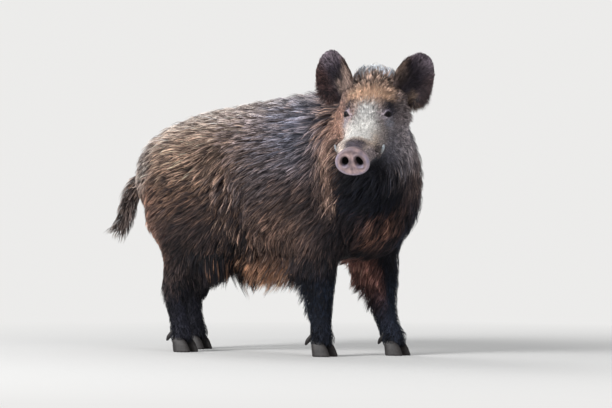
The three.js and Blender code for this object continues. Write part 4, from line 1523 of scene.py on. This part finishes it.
def grow_coat():
    tree = tree_of(*mesh_arrays(skin.data))

    def piece(name, mask, region, template, slot):
        chosen = {key: values[mask] for key, values in fields.items()}
        grown(name, template, hair, {**chosen, "spot": spot_of(points[mask], region)})

    points, fields = skin_tufts(long_density, LONG_TUFTS, tree)
    x, y, _ = in_body(points).T
    tail = x < TAIL_COAT
    piece("tail_coat", tail, "tail", LONG_TUFT, "coat")
    # Four bands of as many tufts each, from the rump to the neck.
    marks = [-1e9, *np.quantile(x[~tail], [0.25, 0.5, 0.75]), 1e9]
    for name, low, high in zip(("rump", "loin", "shoulder", "neck"), marks, marks[1:]):
        here = ~tail & (x >= low) & (x < high)
        piece(f"{name}_coat_right", here & (y < 0), "body", LONG_TUFT, "coat")
        piece(f"{name}_coat_left", here & (y >= 0), "body", LONG_TUFT, "coat")

    points, fields = skin_tufts(short_density, SHORT_TUFTS, tree, lock_every=7, wild=0.8)
    q = in_head(points)
    # None grows on the eyes and on the disc.
    keep = (lid_opening(q) > 2.0) & ~((q[:, 0] > 334) & (np.hypot(q[:, 1], q[:, 2]) < 38))
    face, fore = face_from(q) > 0.5, in_body(points)[:, 0] > 0
    piece("face_coat_right", keep & face & (q[:, 1] < 0), "head", SHORT_TUFT, "coat")
    piece("face_coat_left", keep & face & (q[:, 1] >= 0), "head", SHORT_TUFT, "coat")
    piece("fore_leg_coat", keep & ~face & fore, "legs", SHORT_TUFT, "leg_coat")
    piece("hind_leg_coat", keep & ~face & ~fore, "legs", SHORT_TUFT, "leg_coat")


def ear_places(side, points):
    """Places on an ear: aside in shares of its half width and along in shares of its length."""
    root, axes = ear_axes(side)
    local = (points - root) @ axes / MM
    return local[:, 0] / 50, local[:, 1] / 127


def ear_lie(side, points, normals):
    _, axes = ear_axes(side)
    sign = SIGNS[side]
    over, along = ear_places(side, points)
    inside = (normals @ axes[:, 2]) > 0
    edge = ease(np.abs(over) + 0.55 * ease(along, 0.78, 1.0), 0.62, 1.0)
    outer = over * sign > 0
    hanging = outer * fade(along, 0.15, 0.6)
    ahead = np.sign(over) * np.where(inside, 0.35 + (0.25 + 0.8 * hanging) * edge,
                                     0.1 + (0.3 + 0.6 * hanging) * edge)
    rise = np.where(outer, 0.9 - 0.75 * fade(along, 0.05, 0.75) * edge, 1.0)
    rise = rise - 1.3 * outer * edge * fade(along, 0.0, 0.35)
    local = ways(ahead, rise, np.where(inside, 0.15, -0.05))
    length = 12 + 5 * edge + 20 * edge * outer * fade(along, 0.0, 0.6) + 6 * fade(along, 0.1, 0.4)
    height = np.where(inside, 3.5, 3.0) + 2.0 * edge
    lining = inside * hill(-over * sign, 0.65, 0.4) * fade(along, 0.45, 0.9)
    length, height = length + 4 * inside + 14 * lining, height + 4 * lining
    free = (0.2 + 0.45 * hanging) * edge
    width = np.interp(length, [8, 14, 40], [1.2, 1.4, 1.7])
    return unit(local @ axes.T), length, height, free, width, np.full(len(points), 0.2)


def ear_colours(side, points, normals):
    _, axes = ear_axes(side)
    sign = SIGNS[side]
    over, along = ear_places(side, points)
    inside = ease(normals @ axes[:, 2], -0.2, 0.3)
    low = np.tile((0.020, 0.015, 0.018), (len(points), 1))
    tip = np.tile((0.125, 0.086, 0.098), (len(points), 1))
    tip = tint(tip, (0.052, 0.042, 0.062), inside * fade(np.abs(over), 0.3, 0.9))
    low, tip = dyed(low, tip, ease(along, 0.5, 0.85), (0.045, 0.036, 0.043), (0.42, 0.34, 0.40), 0.8)
    well = inside * fade(along, 0.3, 0.6) * fade(np.abs(over), 0.55, 0.9)
    tip = tint(tip, (0.024, 0.021, 0.030), well)
    tip = tint(tip, (0.095, 0.060, 0.056), ease(np.abs(over), 0.55, 1.0) * 0.7)
    hem = ease(-over * sign, 0.5, 0.9) * fade(along, 0.4, 0.8)
    tip = tint(tip, (0.42, 0.29, 0.20), hem * (0.35 if side == "right" else 0.5))
    front = ease(-over * sign, -0.1, 0.5) * fade(along, 0.28, 0.52)
    if side == "right":
        front = np.maximum(front, ease(-over * sign, -0.5, 0.0) * fade(along, 0.14, 0.30))
    front = front * (0.9 if side == "right" else 0.3)
    low, tip = dyed(low, tip, front, (0.14, 0.10, 0.085), (0.56, 0.41, 0.35))
    if side == "left":
        foot = ease(over * sign, 0.2, 0.6) * fade(along, 0.02, 0.14)
        tip = tint(tip, (0.32, 0.225, 0.165), 0.8 * foot)
    else:
        tip = tint(tip, (0.115, 0.052, 0.040), 0.6 * ease(over * sign, 0.3, 0.9))
    patchy = 1 + 0.15 * ripple(points, 0.03, 21)
    return low * rows(patchy), tip * rows(patchy)


def ear_density(side, points):
    over, along = ear_places(side, points)
    return (1 + 0.9 * ease(np.abs(over), 0.6, 0.95)) * (along > -0.25)


def grow_ears():
    for side, ear in ears.items():
        tree = tree_of(*mesh_arrays(ear.data))
        points, normals = scattered(ear.data, lambda places: ear_density(side, places), EAR_TUFTS)
        fields = lock_fields(points, normals, ear_lie(side, points, normals), tree, lock_every=8, wild=0.8)
        del fields["kind"]
        fields["root_colour"], fields["tip_colour"] = ear_colours(side, points, normals)
        over, along = ear_places(side, points)
        inside = (normals @ ear_axes(side)[1][:, 2]) > 0
        fields["spot"] = ways((np.clip(over, -1.3, 1.3) / 2.6 + 0.5) * 0.46 + np.where(inside, 0.02, 0.52),
                              np.clip((along + 0.1) / 1.2, 0, 1) * 0.96 + 0.02, 0)
        grown(f"ear_coat_{side}", SHORT_TUFT, hair, fields)


def paint_skin(mesh, colours, share):
    """Colours the skin like the coat on it, share of the way from the hair's root to its tip."""
    places, triangles = mesh_arrays(mesh)
    root, tip = colours(places, normals_of(places, triangles))
    coloured(mesh, skin_colour=mix(root, tip, share))
    mesh.materials.clear()
    mesh.materials.append(hide)


def skin_paint(net):
    strands = net.noise(260, 3, 0.6)
    felt = net.add("ShaderNodeBump", {}, {"Strength": 0.5, "Distance": 0.002, "Height": strands})
    shade = net.attribute("skin_colour") * (0.8 + 0.4 * strands)
    return {"Base Color": shade, "Roughness": 0.8, "Specular IOR Level": 0.2, "Normal": felt}


hide = finish("hide", skin_paint)
paint_skin(skin.data, coat_colours, 0.35)
declared(skin, FLESH)
for side, ear in ears.items():
    paint_skin(ear.data, lambda places, normals: ear_colours(side, places, normals), 0.2)
    declared(ear, [f"ear_{side}"])

LONG_TUFTS, SHORT_TUFTS, EAR_TUFTS = 55000, 50000, 7000
grow_coat()
grow_ears()


# ------------------------------------------------------------------ floor, light and camera

VIEW_TURN = math.radians(36)  # how far the camera stands round from the animal's right side
across = np.array([math.cos(VIEW_TURN), math.sin(VIEW_TURN), 0])
towards = np.array([math.sin(VIEW_TURN), -math.cos(VIEW_TURN), 0])
DISTANCE, EYE_LEVEL, PICTURE_WIDTH = 13.0, 0.6, 612 * 0.003  # in metres, the width where it looks at
looked_at = BODY_AT + across * 0.108 + np.array([0, 0, 0.447])
stand = looked_at + towards * DISTANCE
stand[2] = BODY_AT[2] + EYE_LEVEL

lens = bpy.data.cameras.new("camera")
lens.sensor_width = 36
lens.lens = lens.sensor_width * DISTANCE / PICTURE_WIDTH
lens.clip_end = 100
camera = object_of("camera", lens)
camera.location = stand
camera.rotation_euler = Vector(looked_at - stand).to_track_quat("-Z", "Y").to_euler()
bpy.context.scene.camera = camera


def lamp(name, aside, nearer, up, size, power):
    """A square lamp that shines at the animal, placed as the camera sees it."""
    light = bpy.data.lights.new(name, "AREA")
    light.energy, light.size = power, size
    thing = object_of(name, light)
    thing.location = across * aside + towards * nearer + np.array([0, 0, up])
    thing.rotation_euler = (Vector((0.1, 0, 0.5)) - thing.location).to_track_quat("-Z", "Y").to_euler()
    return thing


lamp("key", -5.6, 4.4, 3.7, 3.0, 720)
lamp("fill", 4.5, 6.0, 3.0, 4.0, 190).visible_glossy = False
lamp("rim", -3.2, -5.1, 4.8, 3.0, 170)

BACKDROP = (0.84, 0.835, 0.825)

sky = bpy.data.worlds.new("studio")
sky.use_nodes = True
bpy.context.scene.world = sky
net = Net(sky.node_tree)
sky.node_tree.nodes.clear()
light = net.add("ShaderNodeBackground", {}, {"Color": (0.96, 0.98, 1.0, 1), "Strength": 0.42})
shown = net.add("ShaderNodeBackground", {}, {"Color": (*BACKDROP, 1), "Strength": 1.0})
both = net.add("ShaderNodeMixShader", {}, {0: seen_directly(net), 1: light, 2: shown})
net.add("ShaderNodeOutputWorld", {}, {"Surface": both})


def floor_paint(net):
    """A pale floor that runs out into the backdrop's colour, and keeps the shadow near the animal."""
    away = net.add("ShaderNodeVectorMath", {"operation": "LENGTH"}, {0: net.place()}, out="Value")
    cloth = net.add("ShaderNodeBsdfPrincipled", {}, {"Base Color": (0.655, 0.651, 0.643, 1), "Roughness": 0.9,
                                                     "Specular IOR Level": 0.1})
    plain = net.add("ShaderNodeEmission", {}, {"Color": (*BACKDROP, 1), "Strength": 1.0})
    share = net.between(away, 1.0, 2.6) * seen_directly(net)
    return net.add("ShaderNodeMixShader", {}, {0: share, 1: cloth, 2: plain})


floor = mesh_of("floor", [(-30, -30, 0), (30, -30, 0), (30, 30, 0), (-30, 30, 0)], [(0, 1, 2, 3)], False)
object_of("floor", floor, material_of("floor", floor_paint))

bpy.context.scene.view_settings.view_transform = "Standard"
